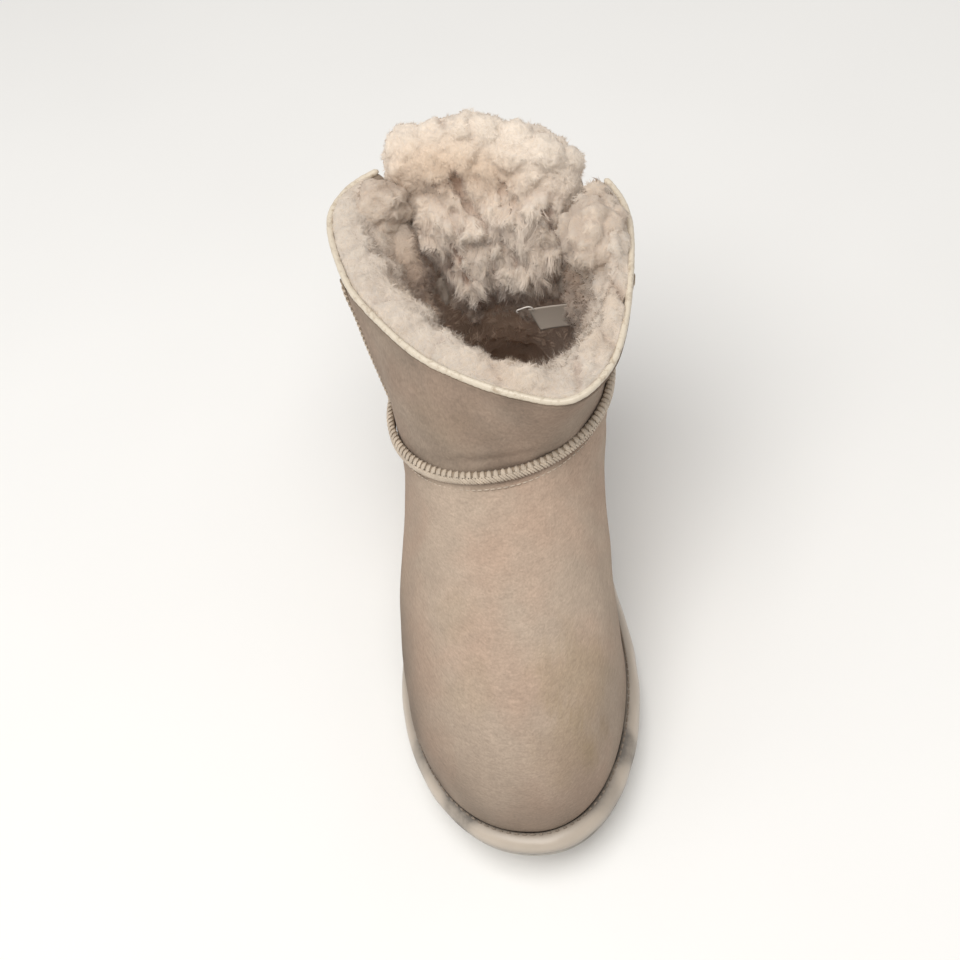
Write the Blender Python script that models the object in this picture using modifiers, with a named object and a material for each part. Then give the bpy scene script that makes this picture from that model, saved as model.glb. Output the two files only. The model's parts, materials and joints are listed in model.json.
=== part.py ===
"""Sheepskin ankle boot for the right foot, standing empty on its sole.

Origin on the floor under the middle of the heel, toe along -Y, +X the inner side of the foot, +Z up.
The functions work in millimetres. u goes once round the boot from the middle of the back, first along
the outer side (-X), with the toe at 0.5. v counts the sections of the last from the sole up: 8 is the
ankle seam and 9 is the collar's edge.
"""
import math

import bmesh
import bpy
import numpy as np
from mathutils import Matrix, Vector

MM = 0.001
COLUMNS = 60

# Driving dimensions, mm
SOLE_LENGTH = 265.7
HEEL_BACK = 34.0        # from the origin back to the end of the sole
SOLE_TOP = 10.0         # of the outsole's upper face, under the ball
HEEL_LIFT = 3.0
TOE_SPRING = 8.0
TOE_THINNING = 1.6      # of the tread's rise at the toe over the upper face's
SPRING_START = 190.0    # from the sole's back end
ARCH_RISE = 2.5
WAIST_AT = 0.36         # share of the length where the sole is drawn in most
WAIST_REACH = 0.20
HEEL_TAPER = 0.6        # of the heel's sides towards its back, for each unit of the waist
HEEL_FLAT = (14.0, 85.5)
BALL_FLAT = (152.0, 190.0)
SIDE_STEP = 0.9
SIDE_INSET = 1.4        # of the sole's side from the rand's widest line
TREAD_INSET = 5.0
GROOVES = 14
FIRST_GROOVE = 26.0
GROOVE_PITCH = 16.0
GROOVE_WIDTH = 3.0
GROOVE_DEPTH = 1.6
GROOVE_MARGIN = 12.0    # from a groove's ends to the rand's widest line
GAP = 0.3               # between pieces that touch
PILE_GAP = 0.7          # behind the fleece, whose back is coarser than the wall
WALL = 2.6              # sheepskin hide
INSOLE_THICK = 4.0
RAND_TOP = 1.4          # v of the rand's upper edge
RAND_HEIGHT = 12.0
RAND_MIDDLE = 5.0       # of the rand's widest line, over the outsole's upper face
SEAM_HALF = 3.0         # half the width of the ankle seam
SEAM_PROUD = 3.4
SIDE_SEAM_PROUD = 2.2
BINDING_RADIUS = 2.1
OUTER_SLIT = 0.108      # u of the collar's slits, each side of the back panel
INNER_SLIT = 0.875
SLIT_DEPTH = 44.0
SLIT_WIDTH = 8.0
LOCK_HALF = (8.5, 7.5, 10.5)    # half width, depth and length of a lock of size 1
LOCK_TAPER = 0.22
LOCK_BEND = 2.5

ANKLE = 8
COLLAR_EDGE = 9

# The sections of the last. front and back are measured from the sole's back end to the section's two
# ends, with their heights; outer and inner are its half widths; widest is where these fall, as a share
# of the section's length; the powers square off (under 1) or sharpen (over 1) its quarters.
FIELDS = ("front front_z back back_z outer inner widest waist "
          "outer_power inner_power heel_power skew follow lean").split()
LAST = {
    "base":     (254, 10.4, 8, 10.4, 48, 45, .64, .18, .90, 1.0, .74, 10, 1.0, 0),
    "feather":  (256, 15, 7, 15, 49, 46, .64, .18, .88, 1.0, .74, 10, 1.0, 0),
    "wall":     (259, 30, 4, 30, 51, 47, .65, .17, .84, .98, .76, 10, .8, 0),
    "toe_wall": (255, 46, 4, 46, 51, 47, .62, .14, .86, .96, .80, 9, .4, 0),
    "toe_cap":  (239, 59, 5, 58, 49, 46, .58, .09, .88, .94, .85, 8, .1, 0),
    "toe_top":  (211, 69, 7, 66, 48, 45, .53, .04, .92, .94, .90, 6, 0, 1),
    "vamp":     (182, 80, 8, 72, 47, 45, .50, .00, .93, .93, .93, 4, 0, 2),
    "instep":   (156, 92, 9, 77, 48, 46, .50, .00, .93, .93, .95, 2, 0, 4),
    "ankle":    (134, 109, 9, 84, 50, 48, .52, .00, .93, .93, .95, 0, 0, 6),
}
SOLE_EDGE = (265.7, 0, 0, 0, 55.8, 53.4, .639, .18, .91, .97, .72, 10.8, 0, 0)

# The collar's edge as it lies flared: u, x, y and height
COLLAR = (
    (.000, 0, 40, 170), (.070, -30, 38, 169), (.125, -50, 31, 167), (.160, -64, 20, 165.5),
    (.195, -70, 1, 164.5), (.255, -60, -35, 163.5), (.305, -49, -53, 162), (.403, -27, -78, 159.5),
    (.479, -7, -91, 157), (.535, 13, -100, 155), (.580, 34, -105, 153.5), (.612, 47, -98, 154),
    (.650, 57, -81, 155.5), (.720, 63, -46, 159.5), (.800, 63, -8, 164), (.875, 50, 18, 167),
    (.935, 28, 34, 169),
)
FLARE = .55             # share of the shaft's flare that comes late, near the collar
SHAFT_MIDDLE = -33      # y of the shaft's middle at the collar

# Sections of the pile: v, depth inward from the wall's inner face, and rise, mm
FRONT_SECTION = (
    (8.10, 0, 0), (8.4, 0, 0), (8.7, 0, 0), (8.97, 0, -.4), (9, 1.8, 1.2), (9, 7, 4),
    (9, 14, 3), (9, 19, -3), (8.75, 22, 0), (8.45, 20, 0), (8.16, 14, 0),
)
BACK_SECTION = (
    (8.05, 0, 0), (8.4, 0, 0), (8.7, 0, 0), (8.96, 0, 0), (9, .3, .9), (9, -3.4, 2.2),
    (9, -5, 8), (9, 0, 14), (9, 8, 17), (9, 16, 14), (9, 22, 6), (8.88, 26, 0),
    (8.65, 28, 0), (8.38, 26, 0), (8.14, 20, 0), (8.05, 10, 0),
)

# Tiers of locks on the back fleece: v, depth, rise, how many, droop of their tips, and size
LOCK_TIERS = (
    (8.35, 22, 0, 3, 160, 1), (8.6, 25, 0, 4, 150, 1), (8.85, 24, 0, 4, 135, 1),
    (9, 18, 6, 5, 100, 1), (9, 10, 12, 5, 50, .8), (9, 3, 12, 5, -20, .7),
)

COLOURS = {
    "outsole": ("EVA foam sole", (.62, .56, .48), .75, 0.0),
    "rand": ("Satin wrapped rand", (.60, .50, .42), .42, 0.0),
    "insole": ("Sheepskin insole", (.55, .46, .39), .95, 0.0),
    "upper": ("Suede sheepskin", (.47, .36, .29), .92, 0.0),
    "ankle_seam": ("Overlocked seam", (.62, .52, .42), .7, 0.0),
    "side_seam_outer": ("Outer seam thread", (.58, .48, .39), .7, 0.0),
    "side_seam_inner": ("Inner seam thread", (.58, .48, .39), .7, 0.0),
    "collar_binding": ("Cream binding", (.78, .71, .60), .38, 0.0),
    "front_fleece": ("Short sheepskin pile", (.70, .60, .51), 1.0, 0.0),
    "back_fleece": ("Curly sheepskin pile", (.74, .63, .53), 1.0, 0.0),
}


def smooth(t):
    """An ease from 0 to 1."""
    t = np.clip(t, 0, 1)
    return t * t * (3 - 2 * t)


def toe_rise(s):
    return TOE_SPRING * np.clip((s - SPRING_START) / (SOLE_LENGTH - SPRING_START), 0, 1) ** 2


def top_rise(s):
    """Of the outsole's upper face, over its height under the ball."""
    return toe_rise(s) + HEEL_LIFT * smooth((150 - s) / 70)


def tread_rise(s):
    """Of the tread off the floor: bevelled heel, arch and toe spring."""
    heel = 2 * np.clip((HEEL_FLAT[0] - s) / HEEL_FLAT[0], 0, 1) ** 2
    arch = smooth((s - HEEL_FLAT[1]) / 20) * smooth((BALL_FLAT[0] - s) / 25)
    return heel + ARCH_RISE * arch + TOE_THINNING * toe_rise(s)


def section(row, u, inset=0.0):
    """A section of the last: points at u, and how far each lies from the sole's back end."""
    f = dict(zip(FIELDS, row))
    turn = 2 * math.pi * u
    fore = -np.cos(turn)
    outer = np.sin(turn) > 0
    widest = f["widest"]
    along = np.where(fore < 0, widest * (1 + fore), widest + (1 - widest) * fore)
    power = np.where(fore < 0, f["heel_power"], np.where(outer, f["outer_power"], f["inner_power"]))
    waist = f["waist"] * np.exp(-((along - WAIST_AT) / WAIST_REACH) ** 2)
    half = np.where(outer, f["outer"], f["inner"]) * (1 - np.where(outer, .7, 1.3) * waist)
    half = half * (1 - HEEL_TAPER * f["waist"] * smooth((.3 - along) / .25)) - inset
    half = half * np.maximum(np.abs(np.sin(turn)), 1e-9) ** power
    s = f["back"] + inset + (f["front"] - f["back"] - 2 * inset) * along
    x = np.where(outer, -half, half) + f["skew"] * np.clip((along - .45) / .55, 0, 1) ** 2
    z = f["back_z"] + (f["front_z"] - f["back_z"]) * along
    z = z + f["follow"] * top_rise(s) + f["lean"] * x / 50
    return np.stack([x, HEEL_BACK - s, z], -1), s


def between_rows(v):
    """The last's fields at v, on a Catmull-Rom curve through its rows."""
    table = np.array(list(LAST.values()), float)
    v = np.clip(np.asarray(v, float), 0, len(table) - 1)
    low = np.minimum(v.astype(int), len(table) - 2)
    t = (v - low)[..., None]
    a, b, c, d = (table[np.clip(low + k, 0, len(table) - 1)] for k in (-1, 0, 1, 2))
    return b + t / 2 * (c - a + t * (2 * a - 5 * b + 4 * c - d + t * (3 * (b - c) + d - a)))


def collar(u):
    """The collar's edge at u, on a closed curve through its stations."""
    table = np.array(COLLAR, float)
    table = np.vstack([table[-2:] - (1, 0, 0, 0), table, table[:2] + (1, 0, 0, 0)])
    u = np.mod(np.asarray(u, float), 1)
    i = np.clip(np.searchsorted(table[:, 0], u, side="right") - 1, 1, len(table) - 3)
    at = table[:, 0]
    slope = (table[2:] - table[:-2]) / (at[2:] - at[:-2])[:, None]
    span = (at[i + 1] - at[i])[..., None]
    t = (u[..., None] - at[i][..., None]) / span
    p, q, m, n = table[i], table[i + 1], slope[i - 1] * span, slope[i] * span
    point = ((2 * t ** 3 - 3 * t ** 2 + 1) * p + (t ** 3 - 2 * t ** 2 + t) * m
             + (3 * t ** 2 - 2 * t ** 3) * q + (t ** 3 - t ** 2) * n)
    return point[..., 1:]


def form(v, u):
    """The upper's outer face."""
    v, u = np.broadcast_arrays(np.asarray(v, float), np.asarray(u, float))
    point, _ = section(np.moveaxis(between_rows(v), -1, 0), u)
    t = np.clip(v - ANKLE, 0, 1.2)[..., None]
    late = (1 - FLARE) * t + FLARE * t ** 2
    blend = np.concatenate([late, late, t], -1)
    return point + (collar(u) - point) * blend


def around(v, u, step=1e-3):
    return form(v, u + step) - form(v, u - step)


def normal(v, u, step=1e-3):
    """The unit normal, out of the upper."""
    n = np.cross(around(v, u), form(v + step, u) - form(v - step, u))
    return n / np.linalg.norm(n, axis=-1, keepdims=True)


def proud(v, u, height):
    """A point standing off the upper's outer face."""
    return form(v, u) + normal(v, u) * height


def climb(v, u, distance, step=1e-3):
    """v of the point that lies a distance up the upper from v."""
    ahead = math.copysign(step, distance)
    rate = np.linalg.norm(form(v + ahead, u) - form(v, u), axis=-1) / step
    return v + distance / rate


def inward(u):
    """Level direction from the collar's edge to the middle of the shaft."""
    edge = collar(u)
    way = np.stack([-edge[..., 0], SHAFT_MIDDLE - edge[..., 1], 0 * edge[..., 0]], -1)
    return way / np.linalg.norm(way, axis=-1, keepdims=True)


def pile(v, u, depth, rise):
    """A point in the fleece, off the wall's inner face."""
    base = proud(v, u, -(WALL + PILE_GAP))
    return base + inward(u) * np.asarray(depth)[..., None] + np.asarray(rise)[..., None] * (0, 0, 1)


def columns(first=0, last=COLUMNS):
    return np.arange(first, last) / COLUMNS


def loft(name, grid, wrap=(False, True), lids=""):
    """A skin over grid[row, column]. wrap joins its last row or column to its first. A lid of rungs
    fills the first or last row ("low", "high"), and end faces close an unwrapped strip ("ends")."""
    rows, count = grid.shape[:2]
    mesh = bpy.data.meshes.new(name)
    work = bmesh.new()
    spots = [[work.verts.new(Vector(point) * MM) for point in row] for row in grid]
    for j in range(rows if wrap[0] else rows - 1):
        low, high = spots[j], spots[(j + 1) % rows]
        for i in range(count if wrap[1] else count - 1):
            k = (i + 1) % count
            work.faces.new((low[i], low[k], high[k], high[i]))
    for side in (spots[0] if "low" in lids else [], spots[-1] if "high" in lids else []):
        if side:
            rungs(work, side)
    if "ends" in lids:
        work.faces.new(spots[0])
        work.faces.new(spots[-1])
    if lids or wrap == (True, True):
        bmesh.ops.recalc_face_normals(work, faces=work.faces)
    work.to_mesh(mesh)
    work.free()
    return show(bpy.data.objects.new(name, mesh))


def rungs(work, side):
    """Fill a symmetric ring from its back to its toe with flat rungs."""
    count = len(side)
    work.faces.new((side[0], side[1], side[-1]))
    for i in range(1, count // 2 - 1):
        work.faces.new((side[i], side[i + 1], side[count - i - 1], side[count - i]))
    middle = count // 2
    work.faces.new((side[middle - 1], side[middle], side[middle + 1]))


def show(thing):
    """Give a piece its material and shading, and put it in the boot's collection."""
    title, colour, roughness, metallic = COLOURS[thing.name]
    material = bpy.data.materials.new(title)
    material.use_nodes = True
    shader = material.node_tree.nodes["Principled BSDF"]
    shader.inputs["Base Color"].default_value = (*colour, 1)
    shader.inputs["Roughness"].default_value = roughness
    shader.inputs["Metallic"].default_value = metallic
    thing.data.materials.append(material)
    boot.objects.link(thing)
    if thing.type == "MESH":
        thing.data.shade_smooth()
        thing.data.set_sharp_from_angle(angle=math.radians(40))
    return thing


def as_cutter(thing):
    """Move a shape to the cutters, drawn as wire and left out of renders."""
    for owner in thing.users_collection:
        owner.objects.unlink(thing)
    cutters.objects.link(thing)
    thing.hide_render = True
    thing.display_type = "WIRE"
    return thing


def combine(thing, operation, group):
    """An exact Boolean with every shape in a collection."""
    change = thing.modifiers.new(operation.title(), "BOOLEAN")
    change.operation = operation
    change.operand_type = "COLLECTION"
    change.collection = group
    change.solver = "EXACT"


def sole_ring(inset, height):
    """A ring of the outsole: height is 1 at its upper face and 0 at the tread, with mm added."""
    share, extra = height
    ring, s = section(SOLE_EDGE, columns(), inset)
    under = tread_rise(s)
    ring[:, 2] = under + (SOLE_TOP + top_rise(s) - under) * share + extra
    return ring


def make_outsole():
    """Foam sole: flange, stepped side, rounded tread edge, arch and cross grooves."""
    rings = (
        sole_ring(TREAD_INSET, (0, 0)),
        sole_ring(SIDE_INSET + .8, (.15, .6)),
        sole_ring(SIDE_INSET, (.5, -.5)),
        sole_ring(SIDE_INSET + SIDE_STEP, (.5, .2)),
        sole_ring(SIDE_INSET, (.5, .9)),
        sole_ring(SIDE_INSET, (1, -.6)),
        sole_ring(SIDE_INSET + .8, (1, 0)),
    )
    sole = loft("outsole", np.array(rings), lids="low high")
    for s in (FIRST_GROOVE + GROOVE_PITCH * k for k in range(GROOVES)):
        if HEEL_FLAT[1] - 6 < s < BALL_FLAT[0]:
            continue
        across = section(SOLE_EDGE, np.linspace(0, 1, 400))[0]
        near = across[np.abs(across[:, 1] - (HEEL_BACK - s)) < 3]
        low, high = near[:, 0].min() + GROOVE_MARGIN, near[:, 0].max() - GROOVE_MARGIN
        bpy.ops.mesh.primitive_cube_add(size=1, location=(0, 0, 0))
        box = as_cutter(bpy.context.active_object)
        box.name = f"groove_{int(s)}"
        height = 12.0
        size = Matrix.Diagonal(((high - low) * MM, GROOVE_WIDTH * MM, height * MM, 1))
        middle = Vector(((low + high) / 2, HEEL_BACK - s, float(tread_rise(s)) + GROOVE_DEPTH - height / 2))
        box.data.transform(Matrix.Translation(middle * MM) @ size)
        grooves.objects.link(box)
    combine(sole, "DIFFERENCE", grooves)


def make_insole():
    rings = []
    for inset, height in ((3.8, GAP), (3.5, 1.2), (3.5, INSOLE_THICK - 1), (4.5, INSOLE_THICK)):
        ring, s = section(LAST["base"], columns(), inset)
        ring[:, 2] = SOLE_TOP + top_rise(s) + height
        rings.append(ring)
    loft("insole", np.array(rings), lids="low high")


def seam_edges(u):
    """v of the ankle seam's lower and upper edge at u."""
    return climb(float(ANKLE), u, -SEAM_HALF), climb(float(ANKLE), u, SEAM_HALF)


def upper_rows(u):
    """v of each row of the upper's mesh at u, with rows along the rand and both edges of the seam."""
    low, high = seam_edges(u)
    plain = [0, 1, RAND_TOP, 2, 2.7, 3.4, 4, 4.6, 5.2, 5.8, 6.4, 7]
    rows = [np.full_like(u, v) for v in plain]
    rows += [(7 + low) / 2, low, np.full_like(u, ANKLE), high]
    rows += [high + (COLLAR_EDGE - high) * share for share in (.25, .5, .75, 1)]
    return np.array(rows)


def make_upper():
    """One hollow wall of hide from the sole to the collar, slit twice at the back of the collar."""
    u = columns()
    rows = upper_rows(u)
    wall = loft("upper", form(rows, u[None, :]))
    shell = wall.modifiers.new("Hide", "SOLIDIFY")
    shell.thickness = WALL * MM
    shell.offset = -1
    shell.use_even_offset = True
    for side, at in (("outer", OUTER_SLIT), ("inner", INNER_SLIT)):
        top = form(COLLAR_EDGE, at)
        along = Vector(around(COLLAR_EDGE, at)).normalized()
        out = Vector(normal(COLLAR_EDGE, at))
        down = along.cross(out).normalized()
        bpy.ops.mesh.primitive_cylinder_add(vertices=3, radius=1, depth=1)
        wedge = as_cutter(bpy.context.active_object)
        wedge.name = f"slit_{side}"
        above = 6.0
        through = 10 * WALL
        reach = (SLIT_DEPTH + above) / 1.5
        frame = Matrix((-along * SLIT_WIDTH / 1.5, down * reach, out * through)).transposed().to_4x4()
        centre = Vector(top) + down * (reach / 2 - above)
        wedge.data.transform(Matrix.Translation(centre * MM) @ frame @ Matrix.Diagonal((MM, MM, MM, 1)))
        slits.objects.link(wedge)
    combine(wall, "DIFFERENCE", slits)


def make_rand():
    """Rounded strip wrapped round the foot of the upper, on the outsole's flange."""
    u = columns()
    wall = [proud(np.full_like(u, v), u, GAP) for v in (0, 1, RAND_TOP)]
    edge, _ = section(SOLE_EDGE, u)
    rings = list(wall)
    for angle in (60, 28, -6, -42):
        ring = wall[-1] + (edge - wall[-1]) * math.cos(math.radians(angle))
        level = SOLE_TOP + top_rise(HEEL_BACK - ring[:, 1]) + RAND_MIDDLE
        ring[:, 2] = level + RAND_HEIGHT / 2 * math.sin(math.radians(angle))
        rings.append(ring)
    flange = wall[0] + (edge - wall[0]) * .5
    flange[:, 2] = SOLE_TOP + top_rise(HEEL_BACK - flange[:, 1]) + GAP + .1
    rings.append(flange)
    loft("rand", np.array(rings), wrap=(True, True))


def make_ankle_seam():
    """Raised overlocked seam round the ankle."""
    u = columns()
    low, high = seam_edges(u)
    middle = np.full_like(u, ANKLE)
    course = ((low, GAP), (middle, GAP), (high, GAP), (high, SEAM_PROUD * .55),
              (middle, SEAM_PROUD + .5), (low, SEAM_PROUD * .55))
    loft("ankle_seam", np.array([proud(v, u, height) for v, height in course]), wrap=(True, True))


def make_side_seam(name, column):
    """Raised seam up the shaft, between the ankle seam and the binding."""
    middle = column / COLUMNS
    half = .5 / COLUMNS
    _, high = seam_edges(np.array([middle]))
    start = climb(high, np.array([middle]), .6)[0]
    end = climb(float(COLLAR_EDGE), np.array([middle]), -1.2)[0]
    shares = (0, .25, .5, .75, 1)
    rows = [start] + [high[0] + (COLLAR_EDGE - high[0]) * share for share in shares[1:-1]] + [end]
    strip = []
    for v in rows:
        course = ((-half, GAP), (0, GAP), (half, GAP), (half, SIDE_SEAM_PROUD * .6),
                  (0, SIDE_SEAM_PROUD), (-half, SIDE_SEAM_PROUD * .6))
        strip.append([proud(v, middle + offset, height) for offset, height in course])
    loft(name, np.array(strip), lids="ends")


def make_binding():
    """Bead along the collar's edge, from one slit round the front to the other."""
    first, last = OUTER_SLIT + .015, INNER_SLIT - .015
    u = np.concatenate([[first], columns(8, COLUMNS - 8), [last]])
    line = form(COLLAR_EDGE, u) - normal(np.full_like(u, COLLAR_EDGE), u) * WALL / 2
    line[:, 2] += BINDING_RADIUS + GAP + .1
    curve = bpy.data.curves.new("collar_binding", "CURVE")
    curve.dimensions = "3D"
    curve.bevel_depth = BINDING_RADIUS * MM
    curve.bevel_resolution = 2
    curve.use_fill_caps = True
    path = curve.splines.new("POLY")
    path.points.add(len(line) - 1)
    for point, place in zip(path.points, line):
        point.co = (*(place * MM), 1)
    show(bpy.data.objects.new("collar_binding", curve))


def lumps(u, v, count, size):
    """Soft uneven swelling of the pile, the same each run."""
    return size * (np.sin(2 * math.pi * (count * u + .6 * v)) * np.cos(9 * v + 31 * u)
                   + .5 * np.sin(2 * math.pi * (1.9 * count * u - 1.3 * v)))


def make_front_fleece():
    """Dense pile inside the front of the collar and its two wings."""
    first, last = OUTER_SLIT + .013, INNER_SLIT - .013
    u = np.concatenate([[first], columns(8, COLUMNS - 8), [last]])
    strip = []
    for at in u:
        end = min(at - first, last - at)
        full = .75 + .25 * smooth(end / .03)
        wing = smooth((at - .72) / .05) * smooth((.86 - at) / .03)
        ring = []
        for v, depth, rise in FRONT_SECTION:
            swell = lumps(at, v, 17, .9) if depth > 5 else 0
            lift = rise * full + wing * (9 if depth > 5 and v > 8.9 else 0)
            ring.append(pile(v, np.array(at), depth * full + swell, lift))
        strip.append(ring)
    loft("front_fleece", np.array(strip), lids="ends")


def make_back_fleece():
    """Deep pile of the back panel, over its edge, with curly locks fused on."""
    inner, outer = INNER_SLIT - 1 + .012, OUTER_SLIT - .012
    u = np.linspace(inner, outer, 19)
    strip = []
    for at in u:
        side = min(at - inner, outer - at) / (outer - inner) * 2
        full = .7 + .3 * smooth(side / .4)
        tall = 1 - smooth((side - 1) / -1) * (.1 if at > 0 else .35)
        crease = math.exp(-((at + .012) / .016) ** 2)
        ring = []
        for v, depth, rise in BACK_SECTION:
            face = depth > 5
            swell = lumps(at, v, 21, 1.2) - 4 * crease if face else 0
            ring.append(pile(v, np.array(at), depth * (full if depth > 0 else 1) + swell, rise * tall))
        strip.append(ring)
    fleece = loft("back_fleece", np.array(strip), lids="ends")
    for tier, (v, depth, rise, count, droop, size) in enumerate(LOCK_TIERS):
        for k in range(count):
            across = (k + .5 + (.2 if tier % 2 else -.2)) / count * 2 - 1
            at = (inner + outer) / 2 + across * (outer - inner) * .4
            place = pile(v, np.array(at), depth * (1 - .28 * abs(across) ** 3), rise)
            sway = .7 * math.sin(7.1 * k + 3.3 * tier)
            uneven = size * (1 + .2 * math.sin(5 * k + tier))
            make_lock(f"lock_{tier}_{k}", place, sway, math.radians(droop), uneven)
    combine(fleece, "UNION", locks)


def make_lock(name, place, sway, droop, scale):
    """A curly lock: a round tuft that tapers and bends towards its tip."""
    bpy.ops.mesh.primitive_uv_sphere_add(segments=7, ring_count=4, radius=1)
    lock = as_cutter(bpy.context.active_object)
    lock.name = name
    for vertex in lock.data.vertices:
        x, y, z = vertex.co
        narrow = 1 - LOCK_TAPER * z
        bend = LOCK_BEND * z * z
        vertex.co = (x * narrow * LOCK_HALF[0] + bend, y * narrow * LOCK_HALF[1], z * LOCK_HALF[2])
    turn = Matrix.Rotation(droop, 4, "X") @ Matrix.Rotation(sway, 4, "Y")
    size = Matrix.Scale(scale * MM, 4)
    lock.data.transform(Matrix.Translation(Vector(place) * MM) @ turn @ size)
    locks.objects.link(lock)


def new_collection(name):
    group = bpy.data.collections.new(name)
    bpy.context.scene.collection.children.link(group)
    return group


for old in list(bpy.data.objects):
    bpy.data.objects.remove(old, do_unlink=True)

boot = new_collection("Sheepskin boot")
cutters = new_collection("Cutters")
grooves, slits, locks = (new_collection(name) for name in ("Grooves", "Slits", "Locks"))

make_outsole()
make_insole()
make_upper()
make_rand()
make_ankle_seam()
make_side_seam("side_seam_outer", 15)
make_side_seam("side_seam_inner", 44)
make_binding()
make_front_fleece()
make_back_fleece()
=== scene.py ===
"""Sheepskin boot for the right foot: its suede, satin rand, stitched seams and fleece.

The functions that shape the last work in millimetres. u goes once round the boot from the middle of the
back, first along the outer side (-X), with the toe at 0.5. v counts the sections of the last from the
sole up: 8 is the ankle seam and 9 is the collar's edge.
"""

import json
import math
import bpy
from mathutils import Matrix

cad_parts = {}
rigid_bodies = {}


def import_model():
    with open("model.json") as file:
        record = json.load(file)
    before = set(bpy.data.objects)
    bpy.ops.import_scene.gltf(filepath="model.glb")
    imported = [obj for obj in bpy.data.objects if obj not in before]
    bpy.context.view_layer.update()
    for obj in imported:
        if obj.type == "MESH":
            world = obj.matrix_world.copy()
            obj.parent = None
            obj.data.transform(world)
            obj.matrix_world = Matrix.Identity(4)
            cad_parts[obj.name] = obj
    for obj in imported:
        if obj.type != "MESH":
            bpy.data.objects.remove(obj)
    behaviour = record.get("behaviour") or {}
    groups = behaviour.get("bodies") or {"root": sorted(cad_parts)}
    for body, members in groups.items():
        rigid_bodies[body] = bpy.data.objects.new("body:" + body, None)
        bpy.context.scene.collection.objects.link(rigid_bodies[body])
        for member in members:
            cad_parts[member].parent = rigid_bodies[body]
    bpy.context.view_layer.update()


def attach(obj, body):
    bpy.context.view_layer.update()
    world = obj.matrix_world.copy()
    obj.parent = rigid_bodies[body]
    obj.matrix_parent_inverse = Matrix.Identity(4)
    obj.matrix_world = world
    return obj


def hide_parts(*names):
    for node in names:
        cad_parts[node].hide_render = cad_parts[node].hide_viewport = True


bl_info = {
    "name": "Sheepskin Boot",
    "version": (1, 0, 0),
    "blender": (4, 5, 0),
    "location": "3D View > Sidebar > Boot",
    "description": "Builds a short sheepskin boot with suede, satin rand, overlocked seams and fleece",
    "category": "Mesh",
}

import bmesh
import bpy
import numpy as np
from bpy.props import FloatProperty, FloatVectorProperty, IntProperty, PointerProperty
from mathutils import Matrix, Vector
from mathutils.kdtree import KDTree

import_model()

MM = 0.001

# The last, mm
SOLE_LENGTH = 265.7
HEEL_BACK = 34.0        # from the origin back to the end of the sole
SOLE_TOP = 10.0         # of the outsole's upper face, under the ball
HEEL_LIFT = 3.0
TOE_SPRING = 8.0
TOE_THINNING = 1.6
SPRING_START = 190.0
ARCH_RISE = 2.5
WAIST_AT = 0.36
WAIST_REACH = 0.20
HEEL_TAPER = 0.6
HEEL_FLAT = (14.0, 85.5)
BALL_FLAT = (152.0, 190.0)
SIDE_STEP = 0.9
SIDE_INSET = 1.4
TREAD_INSET = 5.0
GROOVES = 14
FIRST_GROOVE = 26.0
GROOVE_PITCH = 16.0
GROOVE_WIDTH = 3.0
GROOVE_DEPTH = 1.6
GROOVE_MARGIN = 12.0
TOE_TUCK = 0.8          # of the depth below, how far the foam lies back under the toe's rand
TUCK_DEPTH = 4.0
GAP = 0.3               # between the rand, the insole or the sole and the upper
PILE_GAP = 0.7          # between the wall and the skin of the pile
WALL = 2.6              # of hide, without its wool
INSOLE_THICK = 4.0
RAND_TOP = 1.4          # a count of sections, like ANKLE and COLLAR_EDGE
RAND_HEIGHT = 12.0
RAND_MIDDLE = 5.0
SEAM_HALF = 3.0
BINDING_RADIUS = 2.1
OUTER_SLIT = 0.108      # places round the boot
INNER_SLIT = 0.875
SLIT_DEPTH = 44.0
SLIT_WIDTH = 8.0
ANKLE = 8
COLLAR_EDGE = 9

# The sections of the last. front and back are measured from the sole's back end to the section's two ends,
# with their heights; outer and inner are its half widths; widest is where these fall, as a share of the
# section's length; waist is how far it is drawn in at the arch; the powers square off (under 1) or sharpen
# (over 1) its quarters; skew is how far its toe turns in; follow is its share of the sole's rise; and lean
# is how much higher its inner side lies, mm in 50.
FIELDS = ("front front_z back back_z outer inner widest waist "
          "outer_power inner_power heel_power skew follow lean").split()
LAST = {
    "base":     (254, 10.4, 8, 10.4, 48, 45, .64, .18, .90, 1.0, .74, 10, 1.0, 0),
    "feather":  (256, 15, 7, 15, 49, 46, .64, .18, .88, 1.0, .74, 10, 1.0, 0),
    "wall":     (259, 30, 4, 30, 51, 47, .65, .17, .84, .98, .76, 10, .8, 0),
    "toe_wall": (255, 46, 4, 46, 51, 47, .62, .14, .86, .96, .80, 9, .4, 0),
    "toe_cap":  (239, 59, 5, 58, 49, 46, .58, .09, .88, .94, .85, 8, .1, 0),
    "toe_top":  (211, 69, 7, 66, 48, 45, .53, .04, .92, .94, .90, 6, 0, 1),
    "vamp":     (182, 80, 8, 72, 47, 45, .50, .00, .93, .93, .93, 4, 0, 2),
    "instep":   (156, 92, 9, 77, 48, 46, .50, .00, .93, .93, .95, 2, 0, 4),
    "ankle":    (134, 109, 9, 84, 50, 48, .52, .00, .93, .93, .95, 0, 0, 6),
}
SOLE_EDGE = (SOLE_LENGTH, 0, 0, 0, 55.8, 53.4, .639, .18, .91, .97, .72, 10.8, 0, 0)

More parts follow.
